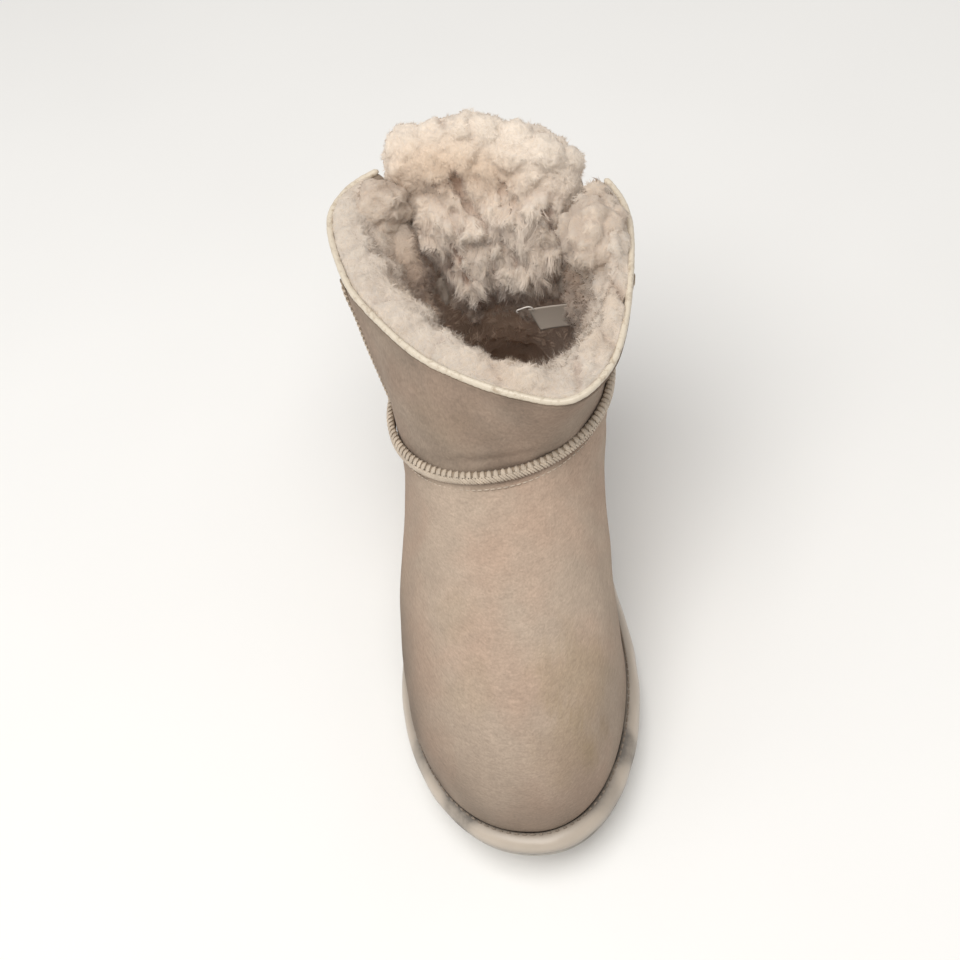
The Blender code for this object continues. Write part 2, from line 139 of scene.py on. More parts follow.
# The collar's edge as it lies flared: u, x, y and height
COLLAR = (
    (.000, 0, 40, 170), (.070, -30, 38, 169), (.125, -50, 31, 167), (.160, -64, 20, 165.5),
    (.195, -70, 1, 164.5), (.255, -60, -35, 163.5), (.305, -49, -53, 162), (.403, -27, -78, 159.5),
    (.479, -7, -91, 157), (.535, 13, -100, 155), (.580, 34, -105, 153.5), (.612, 47, -98, 154),
    (.650, 57, -81, 155.5), (.720, 63, -46, 159.5), (.800, 63, -8, 164), (.875, 50, 18, 167),
    (.935, 28, 34, 169),
)
FLARE = .55             # how late the shaft bends out to its collar
SHAFT_MIDDLE = -33      # y of the shaft's middle at the collar
STEP = 1e-3             # of u or v, for slopes

# Sections of the pile's skin: v, depth inward from the wall's inner face, and rise, mm
FRONT_SECTION = (
    (8.10, 0, 0), (8.4, 0, 0), (8.7, 0, 0), (8.97, 0, -.4), (9, 1.8, 1.2), (9, 7, 4),
    (9, 14, 3), (9, 19, -3), (8.75, 22, 0), (8.45, 20, 0), (8.16, 14, 0),
)
BACK_SECTION = (
    (8.05, 0, 0), (8.4, 0, 0), (8.7, 0, 0), (8.96, 0, 0), (9, .3, .9), (9, -3.4, 2.2),
    (9, -5, 8), (9, 0, 14), (9, 8, 17), (9, 16, 14), (9, 22, 6), (8.88, 26, 0),
    (8.65, 28, 0), (8.38, 26, 0), (8.14, 20, 0), (8.05, 10, 0),
)


def linear(code):
    """An sRGB hex colour as linear RGB."""
    parts = [int(code[k:k + 2], 16) / 255 for k in (1, 3, 5)]
    return tuple(c / 12.92 if c <= .04045 else ((c + .055) / 1.055) ** 2.4 for c in parts)


def colour(title, code, about):
    """A colour that a user can change, from its sRGB hex."""
    return FloatVectorProperty(
        name=title, description=about, subtype="COLOR", size=3, min=0, max=1, default=linear(code))


def length(title, millimetres, about):
    """A length that a user can change, from its millimetres."""
    return FloatProperty(name=title, description=about, unit="LENGTH", min=0, default=millimetres * MM)


class BootSizes(bpy.types.PropertyGroup):
    """Sizes that a user would change."""
    columns: IntProperty(name="Columns", description="Steps round the boot", min=60, default=200)
    stitch_pitch: length("Stitch Pitch", 3.1, "Distance between the overlock's wraps")
    thread: length("Thread", 1.1, "Width of the overlock's thread")
    short_pile: length("Short Pile", 3.6, "Length of the front's pile beyond its skin")
    long_pile: length("Long Pile", 8.0, "Length of the back panel's longest locks")
    fibre: length("Fibre", .28, "Width at its root of a fibre as it is drawn")


class BootColours(bpy.types.PropertyGroup):
    """Colours of the finishes."""
    suede: colour("Suede", "#b3a190", "Napped suede, where it is clean")
    suede_pink: colour("Suede, Pink", "#b39c8a", "Warmer patches of the suede")
    suede_tan: colour("Suede, Tan", "#a38f76", "Tan stain on the inner side of the toe")
    suede_soil: colour("Suede, Soiled", "#75675a", "Soil along the rand, the seams and the rims")
    # The suede is mixed toward this colour by its soil along the rand, the seams and the rims, and also by
    # painted shade over the toe, the foot's outer side and the shaft
    rand: colour("Rand", "#bdb0a1", "Satin coated strip")
    # The rand is mixed toward this colour by its scuffs, and by grime with painted shade at its top and
    # bottom edges; the foam's grime uses it too
    rand_grime_and_shade: colour("Rand, Scuffed", "#6f6860", "Scuffs and grime on the rand")
    binding: colour("Binding", "#d8ccb9", "Glossy binding")
    thread: colour("Thread", "#cbbba8", "Overlock and running stitches")
    rand_thread: colour("Thread, Rand", "#8d7f71", "Stitches in the groove above the rand")
    label_thread: colour("Thread, Label", "#efe9e0", "Stitch at the label's corner")
    welt: colour("Welt", "#a3927f", "Raw edge of the hide inside the overlock")
    # Painted shade at the roots: the fleece runs from the darker, warmer root tone out to the pale tip tone
    pile_tip: colour("Pile, Tips", "#e4dacf", "Pale tips of the fleece")
    pile_root_shade: colour("Pile, Roots", "#d8cab9", "Roots of the fleece")
    pile_warm: colour("Pile, Peach", "#d6bda3", "Yellowed fleece across the back panel")
    # Painted shade: the fleece is mixed toward this brown in its creases, low in the collar's opening and
    # inside the boot
    pile_deep: colour("Pile, Creases", "#865d43", "Fleece deep in its creases")
    foam: colour("Foam", "#cfcac2", "Moulded foam sole")
    # Painted shade: a white label, its tone greyed for the shade in the boot's mouth
    label: colour("Label", "#b9aea2", "Blank woven label")
    floor: colour("Floor", "#f4f3f1", "Pale floor")


def smooth(t):
    """An ease from 0 to 1."""
    t = np.clip(t, 0, 1)
    return t * t * (3 - 2 * t)


def toe_rise(s):
    """How far the toe springs off the floor. s is the distance from the sole's back end, mm."""
    return TOE_SPRING * np.clip((s - SPRING_START) / (SOLE_LENGTH - SPRING_START), 0, 1) ** 2


def top_rise(s):
    """Of the outsole's upper face, over its height under the ball."""
    return toe_rise(s) + HEEL_LIFT * smooth((150 - s) / 70)


def tread_rise(s):
    """Of the tread off the floor: bevelled heel, arch and toe spring."""
    heel = 2 * np.clip((HEEL_FLAT[0] - s) / HEEL_FLAT[0], 0, 1) ** 2
    arch = smooth((s - HEEL_FLAT[1]) / 20) * smooth((BALL_FLAT[0] - s) / 25)
    return heel + ARCH_RISE * arch + TOE_THINNING * toe_rise(s)


def section(row, u, inset=0.0):
    """A section of the last: points at u, and how far each lies from the sole's back end."""
    f = dict(zip(FIELDS, row))
    turn = 2 * math.pi * u
    fore = -np.cos(turn)
    outer = np.sin(turn) > 0
    widest = f["widest"]
    along = np.where(fore < 0, widest * (1 + fore), widest + (1 - widest) * fore)
    power = np.where(fore < 0, f["heel_power"], np.where(outer, f["outer_power"], f["inner_power"]))
    waist = f["waist"] * np.exp(-((along - WAIST_AT) / WAIST_REACH) ** 2)
    half = np.where(outer, f["outer"], f["inner"]) * (1 - np.where(outer, .7, 1.3) * waist)
    half = half * (1 - HEEL_TAPER * f["waist"] * smooth((.3 - along) / .25)) - inset
    half = half * np.maximum(np.abs(np.sin(turn)), 1e-9) ** power
    s = f["back"] + inset + (f["front"] - f["back"] - 2 * inset) * along
    x = np.where(outer, -half, half) + f["skew"] * np.clip((along - .45) / .55, 0, 1) ** 2
    z = f["back_z"] + (f["front_z"] - f["back_z"]) * along
    z = z + f["follow"] * top_rise(s) + f["lean"] * x / 50
    return np.stack([x, HEEL_BACK - s, z], -1), s


def curved(a, b, c, d, t):
    """A point between b and c, on a Catmull-Rom curve through all four."""
    return b + t / 2 * (c - a + t * (2 * a - 5 * b + 4 * c - d + t * (3 * (b - c) + d - a)))


def between_rows(v):
    """The last's fields at v, on a curve through its rows."""
    table = np.array(list(LAST.values()), float)
    v = np.clip(np.asarray(v, float), 0, len(table) - 1)
    low = np.minimum(v.astype(int), len(table) - 2)
    near = (table[np.clip(low + k, 0, len(table) - 1)] for k in (-1, 0, 1, 2))
    return curved(*near, (v - low)[..., None])


def collar(u):
    """The collar's edge at u, on a closed curve through its stations."""
    table = np.array(COLLAR, float)
    table = np.vstack([table[-2:] - (1, 0, 0, 0), table, table[:2] + (1, 0, 0, 0)])
    u = np.mod(np.asarray(u, float), 1)
    i = np.clip(np.searchsorted(table[:, 0], u, side="right") - 1, 1, len(table) - 3)
    at = table[:, 0]
    slope = (table[2:] - table[:-2]) / (at[2:] - at[:-2])[:, None]
    span = (at[i + 1] - at[i])[..., None]
    t = (u[..., None] - at[i][..., None]) / span
    p, q, m, n = table[i], table[i + 1], slope[i - 1] * span, slope[i] * span
    point = ((2 * t ** 3 - 3 * t ** 2 + 1) * p + (t ** 3 - 2 * t ** 2 + t) * m
             + (3 * t ** 2 - 2 * t ** 3) * q + (t ** 3 - t ** 2) * n)
    return point[..., 1:]


def form(v, u):
    """The upper's outer face."""
    v, u = np.broadcast_arrays(np.asarray(v, float), np.asarray(u, float))
    point, _ = section(np.moveaxis(between_rows(v), -1, 0), u)
    t = np.clip(v - ANKLE, 0, 1.2)[..., None]
    late = (1 - FLARE) * t + FLARE * t ** 2
    blend = np.concatenate([late, late, t], -1)
    return point + (collar(u) - point) * blend


def around(v, u):
    """The way round the upper, over two steps of u."""
    return form(v, u + STEP) - form(v, u - STEP)


def unit(vectors):
    """Vectors made one long."""
    return vectors / np.maximum(np.linalg.norm(vectors, axis=-1, keepdims=True), 1e-9)


def normal(v, u):
    """The unit normal, out of the upper."""
    return unit(np.cross(around(v, u), form(v + STEP, u) - form(v - STEP, u)))


def proud(v, u, height):
    """A point standing off the upper's outer face."""
    return form(v, u) + normal(v, u) * np.asarray(height)[..., None]


def climb(v, u, distance):
    """v of the point that lies a distance up the upper from v."""
    ahead = np.where(np.asarray(distance) < 0, -STEP, STEP)
    rate = np.linalg.norm(form(v + ahead, u) - form(v, u), axis=-1) / STEP
    return v + distance / rate


def steps_on(v, u):
    """How many mm of the surface a unit of v and of u are."""
    tall = np.linalg.norm(form(v + STEP, u) - form(v - STEP, u), axis=-1) / (2 * STEP)
    wide = np.linalg.norm(around(v, u), axis=-1) / (2 * STEP)
    return tall, wide


def inward(u):
    """Level direction from the collar's edge to the middle of the shaft."""
    edge = collar(u)
    return unit(np.stack([-edge[..., 0], SHAFT_MIDDLE - edge[..., 1], 0 * edge[..., 0]], -1))


def pile(v, u, depth, rise):
    """A point in the fleece, off the wall's inner face."""
    base = proud(v, u, -(WALL + PILE_GAP))
    return base + inward(u) * np.asarray(depth)[..., None] + np.asarray(rise)[..., None] * (0, 0, 1)


def mottle(points, size, seed, waves=7):
    """Smooth uneven swelling with bumps about size mm across, mostly between -1 and 1."""
    rng = np.random.default_rng(seed)
    ways = unit(rng.normal(size=(waves, 3))) * 2 * math.pi / size * rng.uniform(.6, 1.3, (waves, 1))
    phase = rng.uniform(0, 2 * math.pi, waves)
    return np.sin(points @ ways.T + phase).sum(-1) / math.sqrt(waves)


def run_along(line):
    """How far along a line each of its points lies."""
    return np.concatenate([[0], np.cumsum(np.linalg.norm(np.diff(line, axis=0), axis=1))])


def paced(line, pitch):
    """Places round a closed line of points, as fractions of its points, an even pitch apart in length."""
    run = run_along(np.vstack([line, line[:1]]))
    steps = max(1, round(run[-1] / pitch))
    return np.interp(np.arange(steps) / steps * run[-1], run, np.arange(len(run))) / (len(run) - 1)


def quads(rows, columns, wrap=(False, False)):
    """Faces between the points of a grid. wrap closes it from its last row or column to its first."""
    j, i = np.meshgrid(np.arange(rows if wrap[0] else rows - 1),
                       np.arange(columns if wrap[1] else columns - 1), indexing="ij")
    j, i = j.ravel(), i.ravel()
    k, n = (i + 1) % columns, (j + 1) % rows
    return np.stack([j * columns + i, j * columns + k, n * columns + k, n * columns + i], 1)


def search_tree(points):
    """Ready to find the nearest of some points."""
    tree = KDTree(len(points))
    for k, point in enumerate(points):
        tree.insert(point, k)
    tree.balance()
    return tree


def build(name, points, groups, material, smooth_shade=True):
    """A mesh object from points in mm and arrays of faces, each array of one size of face."""
    points = np.asarray(points).reshape(-1, 3)
    mesh = bpy.data.meshes.new(name)
    mesh.vertices.add(len(points))
    mesh.vertices.foreach_set("co", (points * MM).astype(np.float32).ravel())
    corners = np.concatenate([group.ravel() for group in groups]).astype(np.int32)
    sizes = np.concatenate([np.full(len(group), group.shape[1]) for group in groups])
    mesh.loops.add(len(corners))
    mesh.loops.foreach_set("vertex_index", corners)
    mesh.polygons.add(len(sizes))
    mesh.polygons.foreach_set("loop_start", np.concatenate([[0], np.cumsum(sizes)[:-1]]).astype(np.int32))
    mesh.update(calc_edges=True)
    mesh.validate()
    if smooth_shade:
        mesh.shade_smooth()
    mesh.materials.append(material)
    thing = bpy.data.objects.new(name, mesh)
    bpy.context.scene.collection.objects.link(thing)
    return thing


def note(thing, **fields):
    """Keep numbers for each point of a mesh, for its material. A list that is too short is repeated."""
    for name, values in fields.items():
        kept = thing.data.attributes.new(name, "FLOAT", "POINT")
        values = np.resize(np.asarray(values, np.float32), len(thing.data.vertices))
        kept.data.foreach_set("value", values)


def lit_as(thing, normals):
    """Light a mesh's points by these normals and not by its faces'. A list that is too short is repeated."""
    normals = np.resize(normals, (len(thing.data.vertices), 3))
    thing.data.normals_split_custom_set_from_vertices(normals)
    kept = thing.data.attributes.new("body", "FLOAT_VECTOR", "POINT")
    kept.data.foreach_set("vector", normals.astype(np.float32).ravel())


def surface_map(thing, across, up):
    """UVs in metres, from two numbers for each point, in mm."""
    corners = np.empty(len(thing.data.loops), np.int32)
    thing.data.loops.foreach_get("vertex_index", corners)
    places = np.stack([across.ravel()[corners], up.ravel()[corners]], 1) * MM
    layer = thing.data.uv_layers.new(name="surface")
    layer.data.foreach_set("uv", places.astype(np.float32).ravel())


def evaluated(thing):
    """A piece with its modifiers applied."""
    graph = bpy.context.evaluated_depsgraph_get()
    mesh = bpy.data.meshes.new_from_object(thing.evaluated_get(graph))
    thing.modifiers.clear()
    thing.data = mesh
    return thing


def reworked(thing, change):
    """Change a piece's mesh through bmesh."""
    work = bmesh.new()
    work.from_mesh(thing.data)
    change(work)
    work.to_mesh(thing.data)
    work.free()
    return thing


def closed_up(thing):
    """Merge a skin's meeting edges."""
    return reworked(thing, lambda work: bmesh.ops.remove_doubles(work, verts=work.verts, dist=2e-6))


def faced_out(thing):
    """Turn a closed mesh's faces outward."""
    return reworked(thing, lambda work: bmesh.ops.recalc_face_normals(work, faces=work.faces))


def thicken(thing, thickness):
    """Give a skin the hide's thickness, inward."""
    shell = thing.modifiers.new("Hide", "SOLIDIFY")
    shell.thickness = thickness * MM
    shell.offset = -1
    return evaluated(thing)


def slab(name, top, bottom, material):
    """A closed sheet between two grids of the same shape."""
    faces = quads(*top.shape[:2])
    size = top[..., 0].size
    index = np.arange(size).reshape(top.shape[:2])
    rim = np.concatenate([index[0, :-1], index[:-1, -1], index[-1, :0:-1], index[:0:-1, 0]])
    walls = np.stack([rim, np.roll(rim, -1), np.roll(rim, -1) + size, rim + size], 1)
    return faced_out(build(name, np.stack([top, bottom]), [faces[:, ::-1], faces + size, walls], material))


def tubes(name, paths, facing, wide, thick, material, sides=7):
    """Threads along many paths of the same number of points, closed at both ends. facing is the way
    that each point's flat side looks. wide and thick are half sizes, mm, one or one for each point."""
    count, steps = paths.shape[:2]
    ahead = unit(np.gradient(paths, axis=1))
    side = unit(np.cross(ahead, facing))
    out = np.cross(side, ahead)
    turn = np.arange(sides) / sides * 2 * math.pi
    narrow = np.ones(steps)
    narrow[[0, -1]] = .45
    wide, thick = (np.broadcast_to(size, steps) * narrow for size in (wide, thick))
    ring = (side[:, :, None] * (wide[:, None] * np.cos(turn))[..., None]
            + out[:, :, None] * (thick[:, None] * np.sin(turn))[..., None])
    shift = (np.arange(count) * steps * sides)[:, None, None]
    caps = np.array([np.arange(sides), np.arange(sides)[::-1] + (steps - 1) * sides])
    around_one = quads(steps, sides, (False, True))[:, ::-1]
    faces = [(part + shift).reshape(-1, part.shape[1]) for part in (around_one, caps)]
    return build(name, paths[:, :, None] + ring, faces, material)


def dress(thing, slot, *nodes):
    """Tie a piece to the frame."""
    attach(thing, "root")
    if nodes:
        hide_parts(*nodes)
    return thing


def fleecy(skin, normals, slot, *nodes, tip=.75, deep=0, warm=0):
    """Light a skin of wool by its pelt, give it its tones and tie it to the frame."""
    lit_as(skin, normals)
    note(skin, tip=tip, deep=deep, warm=warm, lot=.5)
    return dress(skin, slot, *nodes)


def join(tree, node, inputs):
    """Give a node's sockets, by name or number, values or other nodes' outputs."""
    for key, value in inputs.items():
        if isinstance(value, bpy.types.NodeSocket):
            tree.links.new(value, node.inputs[key])
        else:
            node.inputs[key].default_value = value


# Map Range takes its value, the range this comes from and the range it goes to as sockets 0 to 4. Mix takes
# its factor and two colours as sockets 0, 6 and 7, and gives their mix as output 2.
def add(tree, kind, inputs=(), out=0, **settings):
    """Add a shader node with its settings and links, and give one of its outputs."""
    made = tree.nodes.new("ShaderNode" + kind)
    for key, value in settings.items():
        setattr(made, key, value)
    join(tree, made, dict(inputs))
    return made.outputs[out]


def start(name, **sockets):
    """A material with a Principled shader, and the sockets that are the same all over."""
    material = bpy.data.materials.new(name)
    material.use_nodes = True
    tree = material.node_tree
    shader = tree.nodes["Principled BSDF"]
    join(tree, shader, {title.replace("_", " "): value for title, value in sockets.items()})
    return material, tree, shader


def per(millimetres):
    """A pattern's scale, for features of this size, on coordinates in metres."""
    return 1000 / millimetres


def suede_finish(colours):
    """Napped sheepskin suede, buffed: matt, with brushed flecks, warmer patches, and soil mixed with painted
    shade along the rand and over the toe, the outer side and the shaft.
    """
    material, tree, shader = start(
        "Napped sheepskin suede", Roughness=.95, Sheen_Weight=.03, Sheen_Roughness=.6, Specular_IOR_Level=.2)
    where = add(tree, "UVMap", uv_map="surface")
    body = add(tree, "TexCoord", out="Object")
    # Brushing lays the nap in short ragged flecks: along the foot they are about 1 mm by 4 mm, and on the
    # shaft 4 mm each way
    brushed = add(tree, "Mapping", {"Vector": where, "Scale": (1, 1.8, 1)})
    fleck = add(tree, "TexNoise", {"Vector": brushed, "Scale": per(2.8), "Detail": 5, "Roughness": .68,
                                   "Distortion": 1.1})
    patch, blotch, grit = (add(tree, "TexNoise", {"Vector": place, "Scale": per(size), "Detail": detail})
                           for place, size, detail in ((body, 38, 3), (body, 9, 4), (where, .9, 3)))
    warm = add(tree, "MapRange", {0: patch, 1: .42, 2: .62})
    # The soil attribute holds soil mixed with painted shade
    stain, soil = (add(tree, "Attribute", out="Fac", attribute_name=name) for name in ("stain", "soil"))
    uneven = add(tree, "MapRange", {0: blotch, 1: .3, 2: .7, 3: .84, 4: 1.12})
    soil = add(tree, "Math", {0: soil, 1: uneven}, operation="MULTIPLY", use_clamp=True)
    tone = (*colours.suede, 1)
    for share, code in ((warm, colours.suede_pink), (stain, colours.suede_tan), (soil, colours.suede_soil)):
        tone = add(tree, "Mix", {0: share, 6: tone, 7: (*code, 1)}, 2, data_type="RGBA")
    for field, reach, dark, bright in (
            (fleck, .2, .86, 1.12), (blotch, .2, .95, 1.05), (grit, .15, .93, 1.07)):
        shade = add(tree, "MapRange", {0: field, 1: .5 - reach, 2: .5 + reach, 3: dark, 4: bright})
        tone = add(tree, "VectorMath", {0: tone, 1: shade}, operation="MULTIPLY")
    relief = add(tree, "Math", {0: grit, 1: fleck}, operation="ADD")
    bump = add(tree, "Bump", {"Strength": .35, "Distance": .00035, "Height": relief})
    join(tree, shader, {"Base Color": tone, "Normal": bump})
    return material


def satin_finish(colours):
    """Split leather strip with a rolled satin coat: soft gloss, faint grain, scuffs, and grime mixed with
    painted shade at its top and bottom edges.
    """
    material, tree, shader = start(
        "Satin coated leather", Roughness=.34, Specular_IOR_Level=.6, Coat_Weight=.25, Coat_Roughness=.28)
    where = add(tree, "TexCoord", out="Object")
    grain = add(tree, "TexNoise", {"Vector": where, "Scale": per(1.4), "Detail": 4})
    cloud = add(tree, "TexNoise", {"Vector": where, "Scale": per(14), "Detail": 5, "Roughness": .65})
    scuff, soil = (add(tree, "Attribute", out="Fac", attribute_name=name) for name in ("scuff", "soil"))
    ragged = add(tree, "MapRange", {0: cloud, 1: .35, 2: .65, 3: .45, 4: 1.3})
    # Scuffs, plus grime mixed with painted shade at the rand's edges
    wear_and_shade = add(tree, "Math", {0: scuff, 1: soil}, operation="ADD")
    wear_and_shade = add(tree, "Math", {0: wear_and_shade, 1: ragged}, operation="MULTIPLY", use_clamp=True)
    tone = add(tree, "Mix", {0: wear_and_shade, 6: (*colours.rand, 1), 7: (*colours.rand_grime_and_shade, 1)}, 2, data_type="RGBA")
    shade = add(tree, "MapRange", {0: cloud, 1: .3, 2: .7, 3: .93, 4: 1.06})
    tone = add(tree, "VectorMath", {0: tone, 1: shade}, operation="MULTIPLY")
    gloss = add(tree, "MapRange", {0: wear_and_shade, 3: .34, 4: .7})
    bump = add(tree, "Bump", {"Strength": .3, "Distance": .0002, "Height": grain})
    join(tree, shader, {"Base Color": tone, "Roughness": gloss, "Normal": bump})
    return material


def binding_finish(colours):
    """Split leather tape with a glossy cream coat, folded over the edge: bright, grimy in its puckers."""
    material, tree, shader = start(
        "Glossy coated tape", Roughness=.4, Specular_IOR_Level=.5, Coat_Weight=.2, Coat_Roughness=.2)
    where = add(tree, "TexCoord", out="Object")
    cloud = add(tree, "TexNoise", {"Vector": where, "Scale": per(3.2), "Detail": 5, "Roughness": .7})
    grime = add(tree, "MapRange", {0: cloud, 1: .52, 2: .72, 3: 0, 4: .75})
    tone = add(tree, "Mix", {0: grime, 6: (*colours.binding, 1), 7: (*colours.suede_tan, 1)}, 2,
               data_type="RGBA")
    bump = add(tree, "Bump", {"Strength": .4, "Distance": .0003, "Height": cloud})
    join(tree, shader, {"Base Color": tone, "Normal": bump})
    return material


def thread_finish(name, code):
    """Twisted polyester thread: fine slanted plies, a soft lustre and a little grime."""
    if name in bpy.data.materials:
        return bpy.data.materials[name]
    material, tree, shader = start(name, Roughness=.62, Sheen_Weight=.15, Specular_IOR_Level=.35)
    where = add(tree, "TexCoord", out="Object")
    ply = add(tree, "TexWave", {"Vector": where, "Scale": per(2.4), "Distortion": 1.5}, 1)
    cloud = add(tree, "TexNoise", {"Vector": where, "Scale": per(7), "Detail": 3})
    shade = add(tree, "MapRange", {0: cloud, 1: .3, 2: .7, 3: .78, 4: 1.08})
    tone = add(tree, "VectorMath", {0: (*code, ), 1: shade}, operation="MULTIPLY")
    bump = add(tree, "Bump", {"Strength": .5, "Distance": .0002, "Height": ply})
    join(tree, shader, {"Base Color": tone, "Normal": bump})
    return material


def edge_finish(colours):
    """Raw cut edge of the hide, pressed: matt, darker than the nap, with fine fibres."""
    name = "Raw hide edge"
    if name in bpy.data.materials:
        return bpy.data.materials[name]
    material, tree, shader = start(name, Roughness=.9, Specular_IOR_Level=.2)
    where = add(tree, "TexCoord", out="Object")
    cloud = add(tree, "TexNoise", {"Vector": where, "Scale": per(1.6), "Detail": 4})
    shade = add(tree, "MapRange", {0: cloud, 1: .3, 2: .7, 3: .72, 4: 1.1})
    tone = add(tree, "VectorMath", {0: (*colours.welt, ), 1: shade}, operation="MULTIPLY")
    bump = add(tree, "Bump", {"Strength": .5, "Distance": .0003, "Height": cloud})
    join(tree, shader, {"Base Color": tone, "Normal": bump})
    return material


def fleece_finish(colours, name, sheen, bright=1.0):
    """Shorn sheepskin wool: matt and soft, with painted shade: darker and warmer toward its roots, and brown
    in its creases and hollows. bright scales its whole tone, a painted brightness for the light each fleece
    gets.
    """
    material, tree, shader = start(
        name, Roughness=1, Sheen_Weight=sheen, Sheen_Roughness=.5, Specular_IOR_Level=.1)
    where = add(tree, "TexCoord", out="Object")
    cloud = add(tree, "TexNoise", {"Vector": where, "Scale": per(22), "Detail": 3})
    tip, warm, deep, lot = (add(tree, "Attribute", out="Fac", attribute_name=name)
                            for name in ("tip", "warm", "deep", "lot"))
    tone = (*colours.pile_root_shade, 1)
    for share, code in ((tip, colours.pile_tip), (warm, colours.pile_warm), (deep, colours.pile_deep)):
        tone = add(tree, "Mix", {0: share, 6: tone, 7: (*code, 1)}, 2, data_type="RGBA")
    # Painted light: bright scales the whole fleece's tone for how much light it gets; lot varies it at random
    shade = add(tree, "MapRange", {0: lot, 3: .92 * bright, 4: 1.08 * bright})
    broad = add(tree, "MapRange", {0: cloud, 1: .3, 2: .7, 3: .94, 4: 1.04})
    shade = add(tree, "Math", {0: shade, 1: broad}, operation="MULTIPLY")
    tone = add(tree, "VectorMath", {0: tone, 1: shade}, operation="MULTIPLY")
    # Light passes from fibre to fibre, so a lock is lit as one soft body, from whichever side it is seen
    body = add(tree, "Attribute", out="Vector", attribute_name="body")
    turned = add(tree, "NewGeometry", out="Backfacing")
    side = add(tree, "MapRange", {0: turned, 3: 1, 4: -1})
    body = add(tree, "VectorMath", {0: body, "Scale": side}, operation="SCALE")
    fuzz = add(tree, "TexNoise", {"Vector": where, "Scale": per(1.6), "Detail": 4, "Distortion": 1.2})
    bump = add(tree, "Bump", {"Strength": .6, "Distance": .0008, "Height": fuzz, "Normal": body})
    join(tree, shader, {"Base Color": tone, "Normal": bump})
    through = add(tree, "VectorMath", {0: tone, "Scale": .28}, operation="SCALE")
    glow = add(tree, "BsdfTranslucent", {"Color": through, "Normal": body})
    both = add(tree, "AddShader", {0: shader.outputs[0], 1: glow})
    join(tree, tree.nodes["Material Output"], {"Surface": both})
    material.cycles.use_bump_map_correction = False
    return material


def foam_finish(colours):
    """Moulded EVA foam: matt, pale, with a fine open-cell grain and grime low down."""
    material, tree, shader = start("Moulded foam", Roughness=.75, Specular_IOR_Level=.35)
    where = add(tree, "TexCoord", out="Object")
    cell = add(tree, "TexVoronoi", {"Vector": where, "Scale": per(.9)})
    cloud = add(tree, "TexNoise", {"Vector": where, "Scale": per(12), "Detail": 5})
    grime = add(tree, "MapRange", {0: cloud, 1: .45, 2: .75, 3: 0, 4: .5})
    tone = add(tree, "Mix", {0: grime, 6: (*colours.foam, 1), 7: (*colours.rand_grime_and_shade, 1)}, 2,
               data_type="RGBA")
    bump = add(tree, "Bump", {"Strength": .3, "Distance": .0002, "Height": cell})
    join(tree, shader, {"Base Color": tone, "Normal": bump})
    return material


def label_finish(colours):
    """Woven satin ribbon, left blank: a fine cross weave and a low lustre. Its white is painted grey-beige
    for the shade in the boot's mouth.
    """
    material, tree, shader = start("Woven satin ribbon", Roughness=.55, Sheen_Weight=.2)
    where = add(tree, "TexCoord", out="Object")
    weave = add(tree, "TexWave", {"Vector": where, "Scale": per(1.2)}, 1)
    bump = add(tree, "Bump", {"Strength": .25, "Distance": .0001, "Height": weave})
    join(tree, shader, {"Base Color": (*colours.label, 1), "Normal": bump})
    return material


def floor_finish(colours):
    """Painted board, sprayed matt: pale and almost even."""
    material, tree, shader = start("Matt painted board", Roughness=.8, Specular_IOR_Level=.2)
    where = add(tree, "TexCoord", out="Object")
    cloud = add(tree, "TexNoise", {"Vector": where, "Scale": per(160), "Detail": 2})
    shade = add(tree, "MapRange", {0: cloud, 1: .3, 2: .7, 3: .99, 4: 1.01})
    tone = add(tree, "VectorMath", {0: (*colours.floor, ), 1: shade}, operation="MULTIPLY")
    join(tree, shader, {"Base Color": tone})
    return material


# Creases of the suede: v, u, half length and half width in mm, depth in mm, and turn in degrees
CREASES = (
    (8.16, .485, 34, 2.6, .8, 4), (8.24, .43, 20, 3.2, .5, -10), (7.86, .60, 16, 2.2, .7, -18),
    (7.75, .63, 12, 2.0, .5, -30), (7.2, .78, 26, 4, .9, 18), (6.8, .77, 22, 4, .7, 10),
    (7.3, .22, 26, 4, .9, -18), (6.9, .24, 22, 4, .7, -10), (7.4, .02, 30, 4, .9, 0),
    (6.6, .98, 26, 5, .7, 4), (8.45, .30, 30, 9, 1.0, 70), (8.5, .70, 26, 8, .9, -70),
    (4.2, .30, 34, 10, 1.2, 60), (4.4, .70, 32, 9, 1.0, -60), (5.2, .46, 26, 5, .35, 8),
    (4.8, .54, 22, 4, .3, -6),
)

# Stains of the suede: v, u, radius in mm, and strength
STAINS = (
    (4.5, .60, 24, .55), (3.7, .57, 18, .5), (3.3, .61, 12, .35), (5.6, .42, 14, .2), (4.7, .44, 14, .25),
    (8.5, .44, 20, .25),
)


def gap_round(u, place):
    """The shorter way round from a place to u."""
    return (u - place + .5) % 1 - .5


def creased(v, u):
    """How far the suede's creases, dents and slackness move its face, mm."""
    move = np.zeros(np.broadcast(v, u).shape)
    for at, place, reach, width, depth, turn in CREASES:
        tall, wide = steps_on(at, place)
        x, y = gap_round(u, place) * wide, (v - at) * tall
        c, s = math.cos(math.radians(turn)), math.sin(math.radians(turn))
        run, off = c * x + s * y, c * y - s * x
        fade = np.exp(-(run / reach) ** 4)
        move += depth * fade * (.55 * np.exp(-((off - 1.7 * width) / (1.4 * width)) ** 2)
                                - np.exp(-(off / width) ** 2))
    points = form(v, u)
    slack = .5 * mottle(points, 46, 3) + .1 * mottle(points, 23, 4, 15)
    free = smooth((v - RAND_TOP) / .6) * smooth((COLLAR_EDGE - .02 - v) / .12)
    over_rand = 1.1 * np.exp(-((v - RAND_TOP - .18) / .2) ** 2)
    return (move + slack) * free + over_rand


